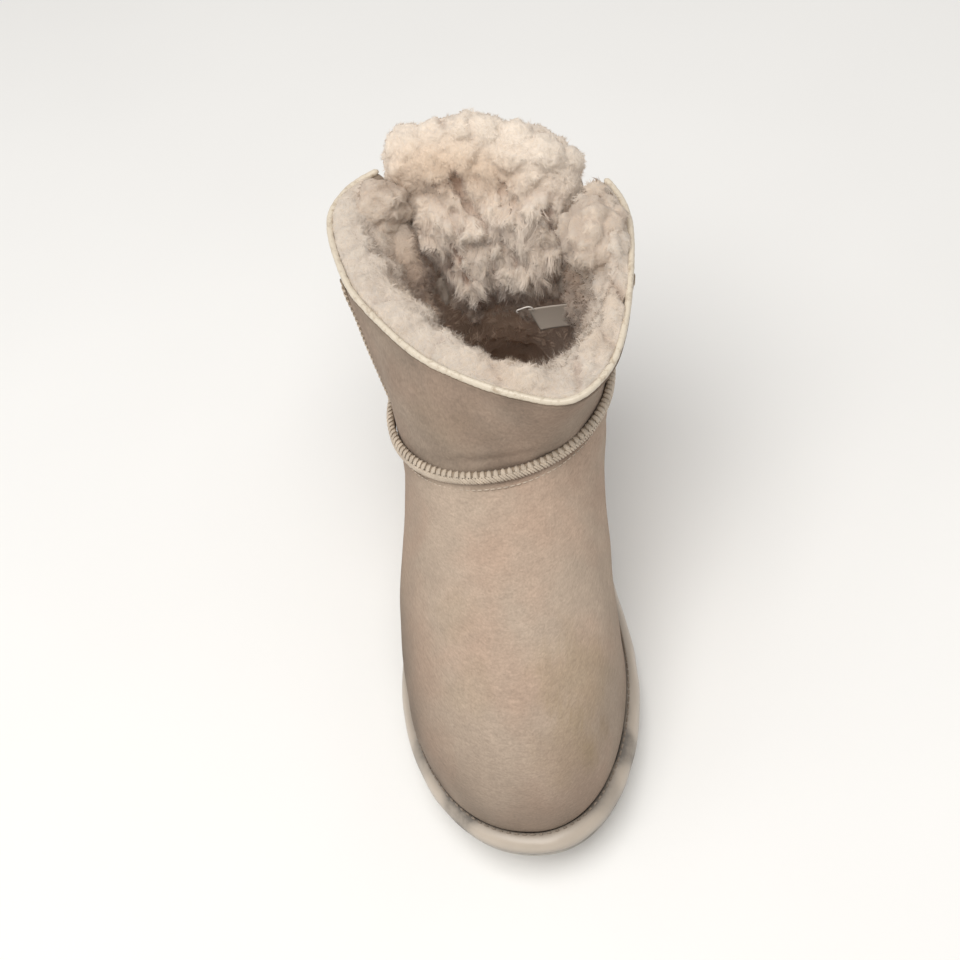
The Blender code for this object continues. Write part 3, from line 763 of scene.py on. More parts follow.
def stained(v, u):
    """Strength of the tan stains at each point."""
    total = np.zeros(np.broadcast(v, u).shape)
    points = form(v, u)
    ragged = .16 * mottle(points, 11, 8) + .1 * mottle(points, 5, 9)
    for at, place, radius, strength in STAINS:
        away = np.linalg.norm(points - form(at, place), axis=-1)
        total += strength * smooth(1.2 - away / radius + ragged)
    return np.clip(total, 0, 1)


def soiled(v, u):
    """How dark the suede is painted at each point: soil with painted shade above the rand and over the toe,
    darker along the ankle seam and the collar's edge, and painted shade along the outer side of the foot and
    over the shaft.
    """
    tall, _ = steps_on(v, u)
    # Soil with painted shade in the groove above the rand
    rand = np.exp(-np.maximum(v - RAND_TOP, 0) * tall / 4.5)
    seam = .5 * np.exp(-np.abs(v - ANKLE) * tall / 4)
    rim = .25 * np.exp(-np.abs(COLLAR_EDGE - v) * tall / 5)
    # Soil with painted shade over the toe, which slopes away from the light, and painted shade along the
    # outer side of the foot
    toe = .5 * smooth((5.4 - v) / 3) * (1 - .5 * smooth((u - .53) / .1))
    toe += .3 * smooth((.44 - u) / .14) * smooth((u - .15) / .1)
    # Painted shade over the shaft, which stands upright under the collar's flare, with less of it on the
    # outer side near u 0.3
    shaft = .46 * smooth((v - ANKLE) / .1) * (1 - .8 * np.exp(-((u - .3) / .07) ** 2))
    points = form(v, u)
    return np.clip((rand * .55 + seam + rim + toe + shaft) * (1 + .14 * mottle(points, 24, 12, 15)), 0, 1)


# How long the suede's pattern takes the way round and each section of the last to be, mm. Round the boot it
# is really 360 to 590 mm, and the sections are about 10 to 20 mm tall on the foot and 70 mm on the shaft, so
# the pattern is drawn out along the foot and up the shaft.
AROUND = 300.0
SECTION_TALL = 25.0


def suede_skin(name, v, u, material):
    """An open skin of suede over a grid of v and u, without a wrap."""
    points = form(v, u) + normal(v, u) * creased(v, u)[..., None]
    thing = build(name, points, [quads(*v.shape)], material)
    # Soil mixed with painted shade, and the tan stains
    note(thing, soil=soiled(v, u), stain=stained(v, u))
    surface_map(thing, (u - .5) * AROUND, v * SECTION_TALL)
    return thing


class Piece:
    """What every step of the boot has in common."""
    bl_options = {"REGISTER", "UNDO"}

    def execute(self, context):
        self.make(context.scene.boot_sizes, context.scene.boot_colours)
        return {"FINISHED"}


# Rounding of the shaft's corners at the slits, mm: of the front and its wings, and of the back panel
CORNERS = (3.0, 20.0)
SHAFT_TALL = 80.0       # about, at the slits
FOOT_ROWS = 66
SHAFT_ROWS = 50


class BOOT_OT_suede(Piece, bpy.types.Operator):
    """Make the suede foot and the slit shaft"""
    bl_idname = "boot.suede"
    bl_label = "Suede"

    def make(self, sizes, colours):
        material = suede_finish(colours)
        v, u = np.meshgrid(np.linspace(0, ANKLE, FOOT_ROWS), np.linspace(0, 1, sizes.columns + 1),
                           indexing="ij")
        foot = closed_up(suede_skin("suede_foot", v, u, material))
        for skin in (foot, self.shaft(sizes, material)):
            dress(thicken(skin, WALL), "suede", "upper")

    def shaft(self, sizes, material):
        """The shaft's front and its back panel, which part above the foot of each slit."""
        rows = np.linspace(ANKLE, COLLAR_EDGE, SHAFT_ROWS)
        share = (rows - ANKLE) / (COLLAR_EDGE - ANKLE)
        spans = ((OUTER_SLIT, INNER_SLIT), (INNER_SLIT - 1, OUTER_SLIT))
        pieces = []
        for number, ((first, last), corner) in enumerate(zip(spans, CORNERS)):
            t = np.linspace(0, 1, round(sizes.columns * (last - first)))
            low, high = first + self.opening(rows, first), last - self.opening(rows, last)
            u = low[:, None] + (high - low)[:, None] * t[None, :]
            _, wide = steps_on(COLLAR_EDGE - .01, low[-1] + (high[-1] - low[-1]) * t)
            to_slit = np.minimum(t, 1 - t) * (high[-1] - low[-1]) * wide
            curve = corner - np.minimum(to_slit, corner)
            drop = corner - np.sqrt(corner ** 2 - curve ** 2)
            v = ANKLE + share[:, None] * (COLLAR_EDGE - ANKLE - drop / SHAFT_TALL)
            pieces.append(suede_skin(f"suede_shaft_{number}", v, u, material))
        with bpy.context.temp_override(active_object=pieces[0], selected_editable_objects=pieces):
            bpy.ops.object.join()
        pieces[0].name = "suede_shaft"
        return closed_up(pieces[0])

    def opening(self, rows, at):
        """Half the slit's width at each row, as a share of the way round."""
        foot = climb(COLLAR_EDGE, at % 1, -SLIT_DEPTH)
        _, wide = steps_on(rows, at % 1)
        return SLIT_WIDTH / 2 / wide * np.clip((rows - foot) / (COLLAR_EDGE - foot), 0, 1)


def rand_edge(u, angle):
    """A point on the rand's rounded face: 90 is its top, 0 its widest line."""
    wall = proud(RAND_TOP, u, GAP)
    edge, _ = section(SOLE_EDGE, u)
    c, s = math.cos(math.radians(angle)), math.sin(math.radians(angle))
    ring = wall + (edge - wall) * max(c, 0) ** .8
    level = SOLE_TOP + top_rise(HEEL_BACK - ring[:, 1]) + RAND_MIDDLE
    ring[:, 2] = level + RAND_HEIGHT / 2 * s
    return ring


# Angles of the rand's face, and how far it is darkened there: grime with painted shade in the groove at its
# top, and painted shade where the face turns under
RAND_ANGLES = (82, 70, 58, 46, 34, 22, 10, -2, -14, -26, -38, -50)
RAND_SOIL_AND_SHADE = (.6, .35, .14, .03, 0, 0, .08, .3, .5, .7, .85, 1)
# Scuffs of the rand: u, half width in mm, and strength
SCUFFS = ((.415, 3, .8), (.345, 3, .4), (.60, 3, .3), (.655, 2.5, .6), (.25, 6, .25), (.82, 8, .3))
RAND_WIDTH = 8.0        # of its bulge, mm
RAND_STITCHES = 3.4     # from one to the next, mm


class BOOT_OT_rand(Piece, bpy.types.Operator):
    """Make the satin rand and the stitches in the groove above it"""
    bl_idname = "boot.rand"
    bl_label = "Rand"

    def make(self, sizes, colours):
        u = np.arange(sizes.columns + 80) / (sizes.columns + 80)
        hidden = [proud(v, u, GAP) for v in (0, .7, RAND_TOP - .12)]
        face = [rand_edge(u, angle) for angle in RAND_ANGLES]
        # A rolled strip isn't quite even
        face = [ring + normal(1.0, u) * (.16 * mottle(ring, 17, 21))[:, None] for ring in face]
        flange = hidden[0] + (face[-1] - hidden[0]) * .5
        flange[:, 2] = SOLE_TOP + top_rise(HEEL_BACK - flange[:, 1]) + GAP + .1
        grid = np.array([*hidden, *face, flange])
        faces = quads(*grid.shape[:2], (True, True))
        rand = build("rand_strip", grid, [faces[:, ::-1]], satin_finish(colours))
        soil, scuff = np.zeros((2, *grid.shape[:2]))
        # Grime and painted shade, darkest in the groove and under the face
        soil[len(hidden):-1] = np.array(RAND_SOIL_AND_SHADE)[:, None]
        for at, half, strength in SCUFFS:
            away = np.linalg.norm((grid - form(1.0, at))[..., :2], axis=-1)
            scuff += strength * np.exp(-(np.maximum(away - RAND_WIDTH, 0) / half) ** 2)
        note(rand, scuff=np.clip(scuff, 0, 1), soil=soil)
        dress(rand, "satin_rand", "rand")
        self.stitches(colours)

    def stitches(self, colours):
        """Short stitches that hold the rand to the upper, sunk in the groove between them."""
        dense = np.arange(1200) / 1200
        places = paced(proud(RAND_TOP, dense, 1.0), RAND_STITCHES)
        t = np.linspace(-1, 1, 5)
        u = places[:, None] + t * .0026
        lift = normal(RAND_TOP, u)
        paths = rand_edge(u.ravel(), 78).reshape(*u.shape, 3) + lift * .1
        paths = paths + (0, 0, .35) - (0, 0, .5) * t[None, :, None] ** 2
        thread = thread_finish("Taupe thread", colours.rand_thread)
        dress(tubes("rand_stitching", paths, lift, .45, .45, thread), "seam_thread")


def seam_point(u, distance, height):
    """A point over the ankle seam: a distance up the upper from its middle, and a height off it."""
    return proud(climb(ANKLE, u, distance), u, height)


# Section of the raised edges inside the overlock: distance up from the seam's middle, and height, mm
WELT = ((2.3, .2), (2.4, 1.2), (2.0, 2.2), (1.1, 2.8), (0, 3.0), (-1.1, 2.8), (-2.0, 2.1), (-2.5, 1.1),
        (-2.7, .2))
# A wrap of the overlock over those edges: distance, height, and lead along the seam, mm
WRAP = ((2.7, .3, -.5), (2.7, 1.4, -.5), (2.3, 2.4, -.4), (1.3, 3.1, -.2), (0, 3.4, .1), (-1.0, 3.2, .3))
# How much wider than its thread a wrap lies at each of those points
WRAP_SPREAD = (1.8, 1.9, 2.1, 2.5, 2.75, 2.75)


class BOOT_OT_ankle_seam(Piece, bpy.types.Operator):
    """Make the overlocked seam round the ankle"""
    bl_idname = "boot.ankle_seam"
    bl_label = "Ankle Seam"

    def make(self, sizes, colours):
        u = np.arange(sizes.columns) / sizes.columns
        grid = np.array([seam_point(u, d, h) for d, h in WELT] + [seam_point(u, 0, .2)])
        grid += normal(ANKLE, u) * .12 * mottle(grid, 6, 31)[..., None]
        faces = quads(*grid.shape[:2], (True, True))
        dress(build("ankle_welt", grid, [faces], edge_finish(colours)), "seam_thread", "ankle_seam")
        cream = thread_finish("Cream twisted thread", colours.thread)
        dense = np.arange(1500) / 1500
        places = paced(seam_point(dense, 0, 4.0), sizes.stitch_pitch / MM)
        _, wide = steps_on(ANKLE, places)
        half = sizes.thread / MM / 2
        jitter = np.random.default_rng(41).normal(0, .12, places.shape)
        wraps = [seam_point(places + (lead + jitter) / wide, d, h) for d, h, lead in WRAP]
        self.thread("ankle_wraps", wraps, places, half * np.array(WRAP_SPREAD), half * .75, cream)
        # The looper threads: a cord of slanted links along the seam's lower shoulder
        links, across = np.concatenate([places, places + 1.55 / wide]), np.tile(wide, 2)
        cord = [seam_point(links + (3 * t - .4) / across, -.9 - 1.9 * t,
                           3.1 - 1.2 * t + .5 * math.sin(math.pi * t)) for t in np.linspace(0, 1, 6)]
        self.thread("ankle_cord", cord, links, half * 1.1, half * .95, cream, 6)
        # Small running stitches below the seam
        running = [seam_point(places + 1.15 * t / wide, -4.2, .3 - .35 * t ** 2)
                   for t in np.linspace(-1, 1, 5)]
        self.thread("ankle_running_stitch", running, places, .33, .3, cream)

    def thread(self, name, points, places, wide, thick, material, sides=7):
        """Like stitches at many places round the seam, from lists of their first points, second and so on."""
        facing = normal(ANKLE, places)[:, None]
        dress(tubes(name, np.stack(points, 1), facing, wide, thick, material, sides), "seam_thread")


# Section of a side seam, and a wrap of its overlock: distance across, height, and lead up the seam, mm
SIDE_WELT = ((-2.0, .2), (-1.9, .6), (-1.2, .9), (0, 1.0), (1.2, .9), (1.9, .6), (2.0, .2))
SIDE_WRAP = ((-2.3, .1, -.3), (-2.1, .7, -.2), (-1.2, 1.2, 0), (0, 1.3, .2), (1.2, 1.2, .4), (2.1, .7, .6),
             (2.3, .1, .7))
# Places of the side seams round the boot
SIDE_SEAMS = (("outer", 15 / 60), ("inner", 44 / 60))


class BOOT_OT_side_seams(Piece, bpy.types.Operator):
    """Make the overlocked seams up the shaft's sides"""
    bl_idname = "boot.side_seams"
    bl_label = "Side Seams"

    def make(self, sizes, colours):
        cream = thread_finish("Cream twisted thread", colours.thread)
        half = sizes.thread / MM / 2
        for side, at in SIDE_SEAMS:
            rows = np.linspace(climb(ANKLE, at, SEAM_HALF + .8), climb(COLLAR_EDGE, at, -1.0), 60)
            _, wide = steps_on(rows, at)
            slack = creased(rows, at)
            grid = np.stack([proud(rows, at + d / wide, h + slack) for d, h in SIDE_WELT]
                            + [proud(rows, at, .1)])
            ends = np.arange(len(grid)) * len(rows)
            lids = np.array([ends, (ends + len(rows) - 1)[::-1]])
            faces = quads(*grid.shape[:2], (True, False))
            welt = build(f"side_welt_{side}", grid, [faces, lids], edge_finish(colours))
            dress(welt, "seam_thread", f"side_seam_{side}")
            run = run_along(form(rows, at))
            v = np.interp(np.arange(1.2, run[-1] - 1, sizes.stitch_pitch / MM * .9), run, rows)
            tall, wide = steps_on(v, at)
            slack = creased(v, at)
            paths = np.stack([proud(v + lead / tall, at + d / wide, h + slack)
                              for d, h, lead in SIDE_WRAP], 1)
            wraps = tubes(f"side_wraps_{side}", paths, normal(v, at)[:, None], half * 1.3, half * .6, cream)
            dress(wraps, "seam_thread")


class BOOT_OT_binding(Piece, bpy.types.Operator):
    """Make the glossy binding of the collar's edge"""
    bl_idname = "boot.binding"
    bl_label = "Binding"

    def make(self, sizes, colours):
        u = np.linspace(OUTER_SLIT + .015, INNER_SLIT - .015, 440)
        turn = np.linspace(0, 2 * math.pi, 15, endpoint=False)
        size = BINDING_RADIUS * .74
        out = normal(COLLAR_EDGE, u)
        line = form(COLLAR_EDGE, u) - out * WALL / 2
        line[:, 2] += size + .1
        up = unit(np.cross(unit(np.gradient(line, axis=0)), -out))
        up = np.where(up[:, 2:] < 0, -up, up)
        run = run_along(line)
        pucker = .05 * np.sin(2 * math.pi * run / 3.1 + 1.4 * mottle(line, 9, 51)) + .08 * mottle(line, 6, 52)
        ends = np.minimum(smooth(run / 1.5), smooth((run[-1] - run) / 1.5)) * .6 + .4
        radius = ((size + pucker) * ends)[:, None, None]
        crease = 1 - .16 * np.exp(-((turn - math.radians(125)) / .16) ** 2)
        wide, tall = np.cos(turn) * crease * .92, np.sin(turn) * crease * 1.05
        grid = line[:, None] + radius * (out[:, None] * wide[:, None] + up[:, None] * tall[:, None])
        first = np.arange(len(turn))
        lids = np.array([first, first[::-1] + (len(u) - 1) * len(turn)])
        faces = quads(len(u), len(turn), (False, True))[:, ::-1]
        tape = build("collar_tape", grid, [faces, lids], binding_finish(colours))
        dress(tape, "binding", "collar_binding")


class Pelt:
    """A grid of points, mm, and what the wool on it does. u and t name its columns and rows."""

    def __init__(self, points, u, t):
        self.points, self.u, self.t = points, u, t
        self.shape = points.shape[:2]
        self.flow = np.zeros_like(points)
        self.long, self.dense = np.ones(self.shape), np.ones(self.shape)
        self.deep, self.warm = np.zeros(self.shape), np.zeros(self.shape)
        self.face()

    def face(self):
        """Work out the normals again."""
        self.normals = unit(np.cross(np.gradient(self.points, axis=1), np.gradient(self.points, axis=0)))

    def by_row(self, values):
        """A number for each row, given to all its points."""
        return np.tile(values[:, None], self.shape[1])

    def swell(self, height):
        """Move each point along its normal, mm."""
        self.points = self.points + self.normals * height[..., None]
        self.face()

    def near(self, at_u, at_t, reach_u, reach_t):
        """1 at a place on the grid, falling to 0 beyond its reach."""
        across, along = (self.u - at_u) / reach_u, (self.t - at_t) / reach_t
        return np.exp(-along[:, None] ** 2 - across[None, :] ** 2)

    def pull(self, table):
        """Move parts of the grid: rows of u, t, their reaches, and x, y and z in mm."""
        for at_u, at_t, reach_u, reach_t, *way in table:
            self.points = self.points + self.near(at_u, at_t, reach_u, reach_t)[..., None] * way
        self.face()

    def rounded(self, reach):
        """Close the grid's two ends like the ends of a bolster, over a reach in u."""
        end = np.clip(np.minimum(self.u - self.u[0], self.u[-1] - self.u) / reach, 0, 1)
        full = .1 + .9 * np.sqrt(1 - (1 - end) ** 2)
        middle = self.points.mean(0, keepdims=True)
        self.points = middle + (self.points - middle) * full[None, :, None]
        self.face()

    def at(self, places):
        """Points on the grid at pairs of u and t."""
        i = np.interp([p[0] for p in places], self.u, np.arange(len(self.u)))
        j = np.interp([p[1] for p in places], self.t, np.arange(len(self.t)))
        return self.points[np.rint(j).astype(int), np.rint(i).astype(int)]

    def furrow(self, path, width, depth, dark):
        """Press a crease along a path of pairs of u and t: its half width and depth in mm, and the painted
        shade in it.
        """
        corners = self.at(path)
        away = np.full(self.shape, np.inf)
        for a, b in zip(corners[:-1], corners[1:]):
            along = np.clip((self.points - a) @ (b - a) / max((b - a) @ (b - a), 1e-9), 0, 1)
            away = np.minimum(away, np.linalg.norm(self.points - a - along[..., None] * (b - a), axis=-1))
        near = np.exp(-(away / width) ** 2)
        self.deep = np.maximum(self.deep, dark * near)
        bare = np.exp(-(away / width / 1.3) ** 2)
        self.long = np.maximum(self.long * (1 - .35 * bare), .6)
        self.dense = self.dense * (1 - .1 * bare)
        self.swell(-depth * near)

    def puffs(self, size, height, seed, shown=1.0):
        """Raise rounded tufts about size mm across, and give the creases between them."""
        rng = np.random.default_rng(seed)
        tree = search_tree(self.pick(max(4, int(self.areas().sum() / size ** 2)), rng)["point"])
        found = np.array([[n[2] for n in tree.find_n(p, 2)] for p in self.points.reshape(-1, 3)])
        near, far = found.T.reshape(2, *self.shape) / size
        crease = 1 - smooth((far - near) / .55)
        self.swell(height * shown * (.6 * (1 - np.minimum(near, 1) ** 2) - crease))
        return crease * shown

    def areas(self):
        """How much wool each face of the grid has room for."""
        p = self.points
        one = np.linalg.norm(np.cross(p[1:, 1:] - p[:-1, :-1], p[1:, :-1] - p[:-1, 1:]), axis=-1) / 2
        return one * (self.dense[1:, 1:] + self.dense[:-1, :-1]) / 2

    def pick(self, count, rng):
        """Random places on the pelt, and what it says there."""
        share = self.areas().ravel()
        cell = rng.choice(len(share), count, p=share / share.sum())
        j, i = np.divmod(cell, self.shape[1] - 1)
        a, b = rng.random((2, count, 1))
        rest = np.stack([self.long, self.deep, self.warm], -1)
        said = np.concatenate([self.points, self.normals, self.flow, rest], -1)
        mixed = ((said[j, i] * (1 - a) + said[j, i + 1] * a) * (1 - b)
                 + (said[j + 1, i] * (1 - a) + said[j + 1, i + 1] * a) * b)
        return {"point": mixed[:, :3], "out": unit(mixed[:, 3:6]), "flow": mixed[:, 6:9],
                "long": mixed[:, 9], "deep": mixed[:, 10], "warm": mixed[:, 11]}

    def skin(self, name, material, slot, *nodes):
        """The closed skin that the wool grows on."""
        rows, count = self.shape
        first = np.arange(rows) * count
        lids = np.array([first[::-1], first + count - 1])
        thing = build(name, self.points, [quads(rows, count, (True, False)), lids], material)
        return fleecy(thing, self.normals, slot, *nodes, deep=self.deep, warm=self.warm)


# How wool grows. tuft: fibres in a lock. bends: joints of a fibre. reach, wide: a fibre's length and its
# width at the root, mm. clump: how far a lock closes at its tip. curl: how far it winds, mm. lean, stray:
# how far locks and single fibres turn aside. rise: how far they stand off the pelt. To show in the render,
# a fibre is drawn five to twenty times as thick as real wool, which is about 0.03 mm.
PLUSH = dict(tuft=7, bends=2, reach=3.4, wide=.34, clump=.1, curl=.3, lean=.8, stray=.12, rise=.5)
COTTON = dict(tuft=9, bends=2, reach=3.4, wide=.34, clump=.1, curl=.5, lean=.95, stray=.1, rise=.36)
LOCKS = dict(tuft=36, bends=4, reach=8.0, wide=.42, clump=.35, curl=1.5, lean=.5, stray=.10, rise=.6)
FRINGE = dict(tuft=1, bends=3, reach=5.0, wide=.16, clump=0, curl=.6, lean=.5, stray=.1, rise=1.2)


def wool(name, slot, pelt, count, seed, material, tuft, bends, reach, wide, clump, curl, lean, stray, rise):
    """Grow tapered fibres on a pelt. The locks have their own places, and each fibre is its nearest's."""
    rng = np.random.default_rng(seed)
    root, lock = pelt.pick(count, rng), pelt.pick(max(1, count // tuft), rng)
    locks = len(lock["point"])
    tree = search_tree(lock["point"])
    mine = np.array([tree.find(place)[1] for place in root["point"]])
    steps = np.arange(bends + 1) / bends
    sway = unit(np.cross(lock["out"], rng.normal(size=(locks, 3))))
    size = reach * lock["long"] * rng.uniform(.75, 1.15, locks)
    # Each lock bends from standing off the pelt to flowing along it, and winds round its own line
    line = np.zeros((locks, bends + 1, 3))
    for k in range(1, bends + 1):
        t = steps[k]
        way = unit(lock["out"] * rise * (1 - .8 * t) + lock["flow"] * (.35 + t) + sway * lean)
        line[:, k] = line[:, k - 1] + way * (size / bends)[:, None]
    one = unit(np.cross(lock["out"], sway))
    two = np.cross(lock["out"], one)
    turns = rng.uniform(.5, 1.3, locks) * rng.choice([-1, 1], locks)
    angle = rng.uniform(0, 2 * math.pi, locks)[:, None] + 2 * math.pi * turns[:, None] * steps
    spread = (curl * steps ** 1.2)[None, :, None]
    line += spread * (np.cos(angle)[..., None] * one[:, None] + np.sin(angle)[..., None] * two[:, None])
    # Fibres follow their lock from their own roots, close up at its tip, and stray
    away = root["point"] - lock["point"][mine]
    gather = clump * smooth(steps * 1.1)[None, :, None]
    share = rng.uniform(.7, 1.05, count)
    paths = root["point"][:, None] + line[mine] * share[:, None, None] - away[:, None] * gather
    frizz = rng.normal(size=(count, 3)) * stray * reach
    paths += frizz[:, None] * (steps ** 1.4)[None, :, None]
    ahead = unit(np.gradient(paths, axis=1))
    side = unit(np.cross(ahead, root["out"][:, None]))
    half = wide / 2 * rng.uniform(.7, 1.3, count)
    taper = np.sqrt(np.clip(1 - steps, 0, 1))[:-1]
    aside = side[:, :-1] * (half[:, None] * taper)[..., None]
    points = np.concatenate([paths[:, :-1] + aside, paths[:, :-1] - aside, paths[:, -1:]], 1)
    # Each fibre is a ribbon of quads that ends in a triangle
    each = 2 * bends + 1
    k = np.arange(bends - 1)
    strip = np.stack([k, k + 1, k + bends + 1, k + bends], 1)
    end = np.array([[bends - 1, 2 * bends, 2 * bends - 1]])
    shift = (np.arange(count) * each)[:, None, None]
    faces = [(part + shift).reshape(-1, part.shape[1]) for part in (strip, end)]
    thing = build(name, points, faces, material)
    way = np.tile(np.concatenate([steps[:-1], steps[:-1], [1.0]]), count)
    apart = np.linalg.norm(away, axis=1, keepdims=True)
    soft = root["out"] + .35 * unit(away) * np.minimum(apart / 1.5, 1)
    lit_as(thing, np.repeat(unit(soft), each, 0))
    # Painted shade: darker toward the roots, and the pelt's painted shade, fading toward the tips
    note(thing, tip=way ** .7, deep=np.repeat(root["deep"], each) * (1 - .35 * way),
         warm=np.repeat(root["warm"], each),
         lot=np.repeat(rng.random(locks)[mine] * .7 + rng.random(count) * .3, each))
    # A fibre lets light through, so only the skin below casts the fleece's shadow
    thing.visible_shadow = False
    thing.visible_diffuse = False
    return dress(thing, slot)


def ring_of(table):
    """A closed, evenly stepped curve through a section of the pile, and its rows' numbers."""
    table = np.asarray(table, float)
    t = np.arange(len(table) * 12) / 12
    low = t.astype(int)
    near = (table[(low + k) % len(table)] for k in (-1, 0, 1, 2))
    return curved(*near, (t - low)[:, None]), t


# Puckers of the front's pile: path of u and t, half width, depth in mm, and the painted shade in them
FRONT_FURROWS = (
    (((.60, 4.2), (.615, 5.5), (.63, 6.6)), 1.8, 1.6, .25),
    (((.70, 4.0), (.712, 5.2), (.715, 6.6)), 2.0, 2.2, .35),
    (((.655, 4.2), (.66, 5.4)), 1.5, 1.0, .2),
    (((.30, 4.4), (.31, 5.6)), 1.6, .8, .12),
    (((.42, 4.2), (.425, 5.4)), 1.6, .8, .12),
    (((.52, 4.2), (.515, 5.6)), 1.6, .8, .15),
)


# Fibres on each of the two coats of the front, on its fringe, and in the pile behind each slit
FRONT_FIBRES = 36000
FRINGE_FIBRES = 1500
SLIT_FIBRES = 2500
# Rounded ends of the wings: middle and radii in mm, fibres, and seed
INNER_LOBE = ((47.0, -20.0, 166.5), (14.0, 17.0, 15.5), 9000, 200)
OUTER_LOBE = ((-46.5, 12.5, 164.5), (11.5, 12.0, 12.5), 5500, 210)


class BOOT_OT_front_fleece(Piece, bpy.types.Operator):
    """Make the short pile inside the front of the collar and its wings"""
    bl_idname = "boot.front_fleece"
    bl_label = "Front Fleece"

    def make(self, sizes, colours):
        # Painted light: the front's short pile is scaled to .79 of its tone, darker than the back's curly
        # pile
        material = fleece_finish(colours, "Shorn fleece, short", .12, .79)
        pelt = self.pelt()
        pelt.skin("front_fleece_skin", material, "short_pile", "front_fleece")
        plush = dict(PLUSH, reach=sizes.short_pile / MM, wide=sizes.fibre / MM)
        for number in range(2):
            wool(f"front_pile_{number}", "short_pile", pelt, FRONT_FIBRES, 65 + number, material, **plush)
        pelt.dense = pelt.dense * np.exp(-((pelt.t - 8.0) / .7) ** 2)[:, None]
        pelt.flow[:] = inward(pelt.u) * .5 + (0, 0, .3)
        wool("front_fringe", "short_pile", pelt, FRINGE_FIBRES, 68, material, **FRINGE)
        # Painted light: the wings' tone is scaled to .81
        curly = fleece_finish(colours, "Shorn fleece, wings", .15, .81)
        cotton = dict(COTTON, wide=sizes.fibre / MM)
        self.lobe("inner_lobe", *INNER_LOBE, cotton, curly)
        self.bridge("outer_slit", OUTER_SLIT, 220, cotton, material)
        self.bridge("inner_slit", INNER_SLIT, 230, cotton, material)
        self.lobe("outer_lobe", *OUTER_LOBE, cotton, curly)

    def pelt(self):
        """The skin inside the front: slimmer by the inner wing, and folded over the collar's edge there."""
        first, last = OUTER_SLIT + .013, INNER_SLIT - .013
        u = np.linspace(first, last, 300)
        ring, t = ring_of(FRONT_SECTION)
        full = .75 + .25 * smooth(np.minimum(u - first, last - u) / .03)
        slim = 1 - .55 * np.exp(-((u - .71) / .065) ** 2) + .14 * np.exp(-((u - .58) / .04) ** 2)
        wing = smooth((u - .72) / .05) * smooth((.86 - u) / .03)
        rows = []
        for v, depth, rise in ring:
            # The inner wing's pile stands higher at the collar, and is thinner below it
            lift = rise * full + wing * 9 * smooth((depth - 3) / 4) * smooth((v - 8.8) / .1)
            thin = 1 - .4 * smooth((8.98 - v) / .2) * np.exp(-((u - .81) / .05) ** 2)
            rows.append(pile(v, u, depth * full * slim * thin, lift))
        pelt = Pelt(np.array(rows), u, t)
        pelt.rounded(.022)
        # The skin laps over the binding's inner side
        lip = np.exp(-((t - 4.1) / .8) ** 2)[:, None, None]
        pelt.points = pelt.points + lip * (inward(u)[None] * -1.8 + (0, 0, .8))
        pelt.face()
        # No wool grows on the side that lies on the wall
        v, depth = ring[:, 0], ring[:, 1]
        shown = pelt.by_row(smooth((depth - 1.5) / 2))
        pelt.dense = pelt.by_row(smooth((depth - .8) / 1.2))
        pelt.swell(1.0 * mottle(pelt.points, 18, 61) * shown)
        crease = pelt.puffs(11, 1.1, 62, shown) + pelt.puffs(5, .5, 60, shown)
        for furrow in FRONT_FURROWS:
            pelt.furrow(*furrow)
        # Painted shade low down and, with a warmer tone, deep on the outer side, painted shade in the creases
        # between the puffs, and the inner wing drawn into puffs
        low = pelt.by_row(smooth((8.95 - v) / .4) * smooth((depth - 8) / 6))
        inside = smooth((depth - 14) / 6)[:, None] * smooth((.3 - u) / .1)
        crease = crease + pelt.puffs(8, 1.4, 63, smooth((u - .70) / .05) * shown)
        pelt.deep = np.clip(np.maximum(pelt.deep, .35 * low) + .1 * inside + .08 * crease, 0, 1)
        pelt.warm = np.clip(.25 * inside + .2 * mottle(pelt.points, 25, 64), 0, 1)
        pelt.flow[:] = inward(u) * .25 + (0, 0, -.2)
        return pelt

    def bridge(self, name, at, seed, cotton, material):
        """The pile of a wing and of the back panel, pressed together behind their slit."""
        v, spread = np.meshgrid(np.linspace(8.24, 8.86, 42), np.linspace(-1, 1, 27), indexing="ij")
        _, wide = steps_on(v, at)
        u = at + spread * 10 / wide
        # Deepest beside the slit, with a dent along it, and thin where it meets the wing and the panel
        depth = 5.5 - 4 * np.abs(spread) ** 3 - 2.5 * np.exp(-(spread / .2) ** 2)
        back, face = pile(v, u, .2, 0), pile(v, u, depth, 0)
        pelt = Pelt(face, spread[0], v[:, 0])
        if (pelt.normals * inward(u)).sum() < 0:
            pelt = Pelt(face[:, ::-1], spread[0], v[:, 0])
            back = back[:, ::-1]
        pelt.swell(.8 * mottle(pelt.points, 7, seed))
        # Painted shade along the dent beside the slit
        pelt.deep = .45 * np.exp(-(spread / .3) ** 2)
        pelt.flow[:] = (0, 0, -.4)
        skin = slab(f"{name}_skin", pelt.points, back, material)
        both = np.concatenate([pelt.normals, -pelt.normals])
        fleecy(skin, both, "short_pile", tip=.6, deep=pelt.deep, warm=.2)
        wool(f"{name}_pile", "short_pile", pelt, SLIT_FIBRES, seed + 1, material, **cotton)

    def lobe(self, name, place, radii, count, seed, cotton, material):
        """The rounded end of a wing, which spills over its slit."""
        turn = np.linspace(0, 2 * math.pi, 61)
        high = np.linspace(-.49 * math.pi, .49 * math.pi, 40)
        wide, tall = np.cos(high)[:, None], np.sin(high)[:, None]
        ball = np.stack([wide * np.cos(turn), wide * np.sin(turn), tall * np.ones_like(turn)], -1)
        pelt = Pelt(ball[:, ::-1] * radii + place, turn / (2 * math.pi), high)
        if (pelt.normals * (pelt.points - place)).sum() < 0:
            pelt = Pelt(ball * radii + place, turn / (2 * math.pi), high)
        pelt.swell(1.2 * mottle(pelt.points, 15, seed))
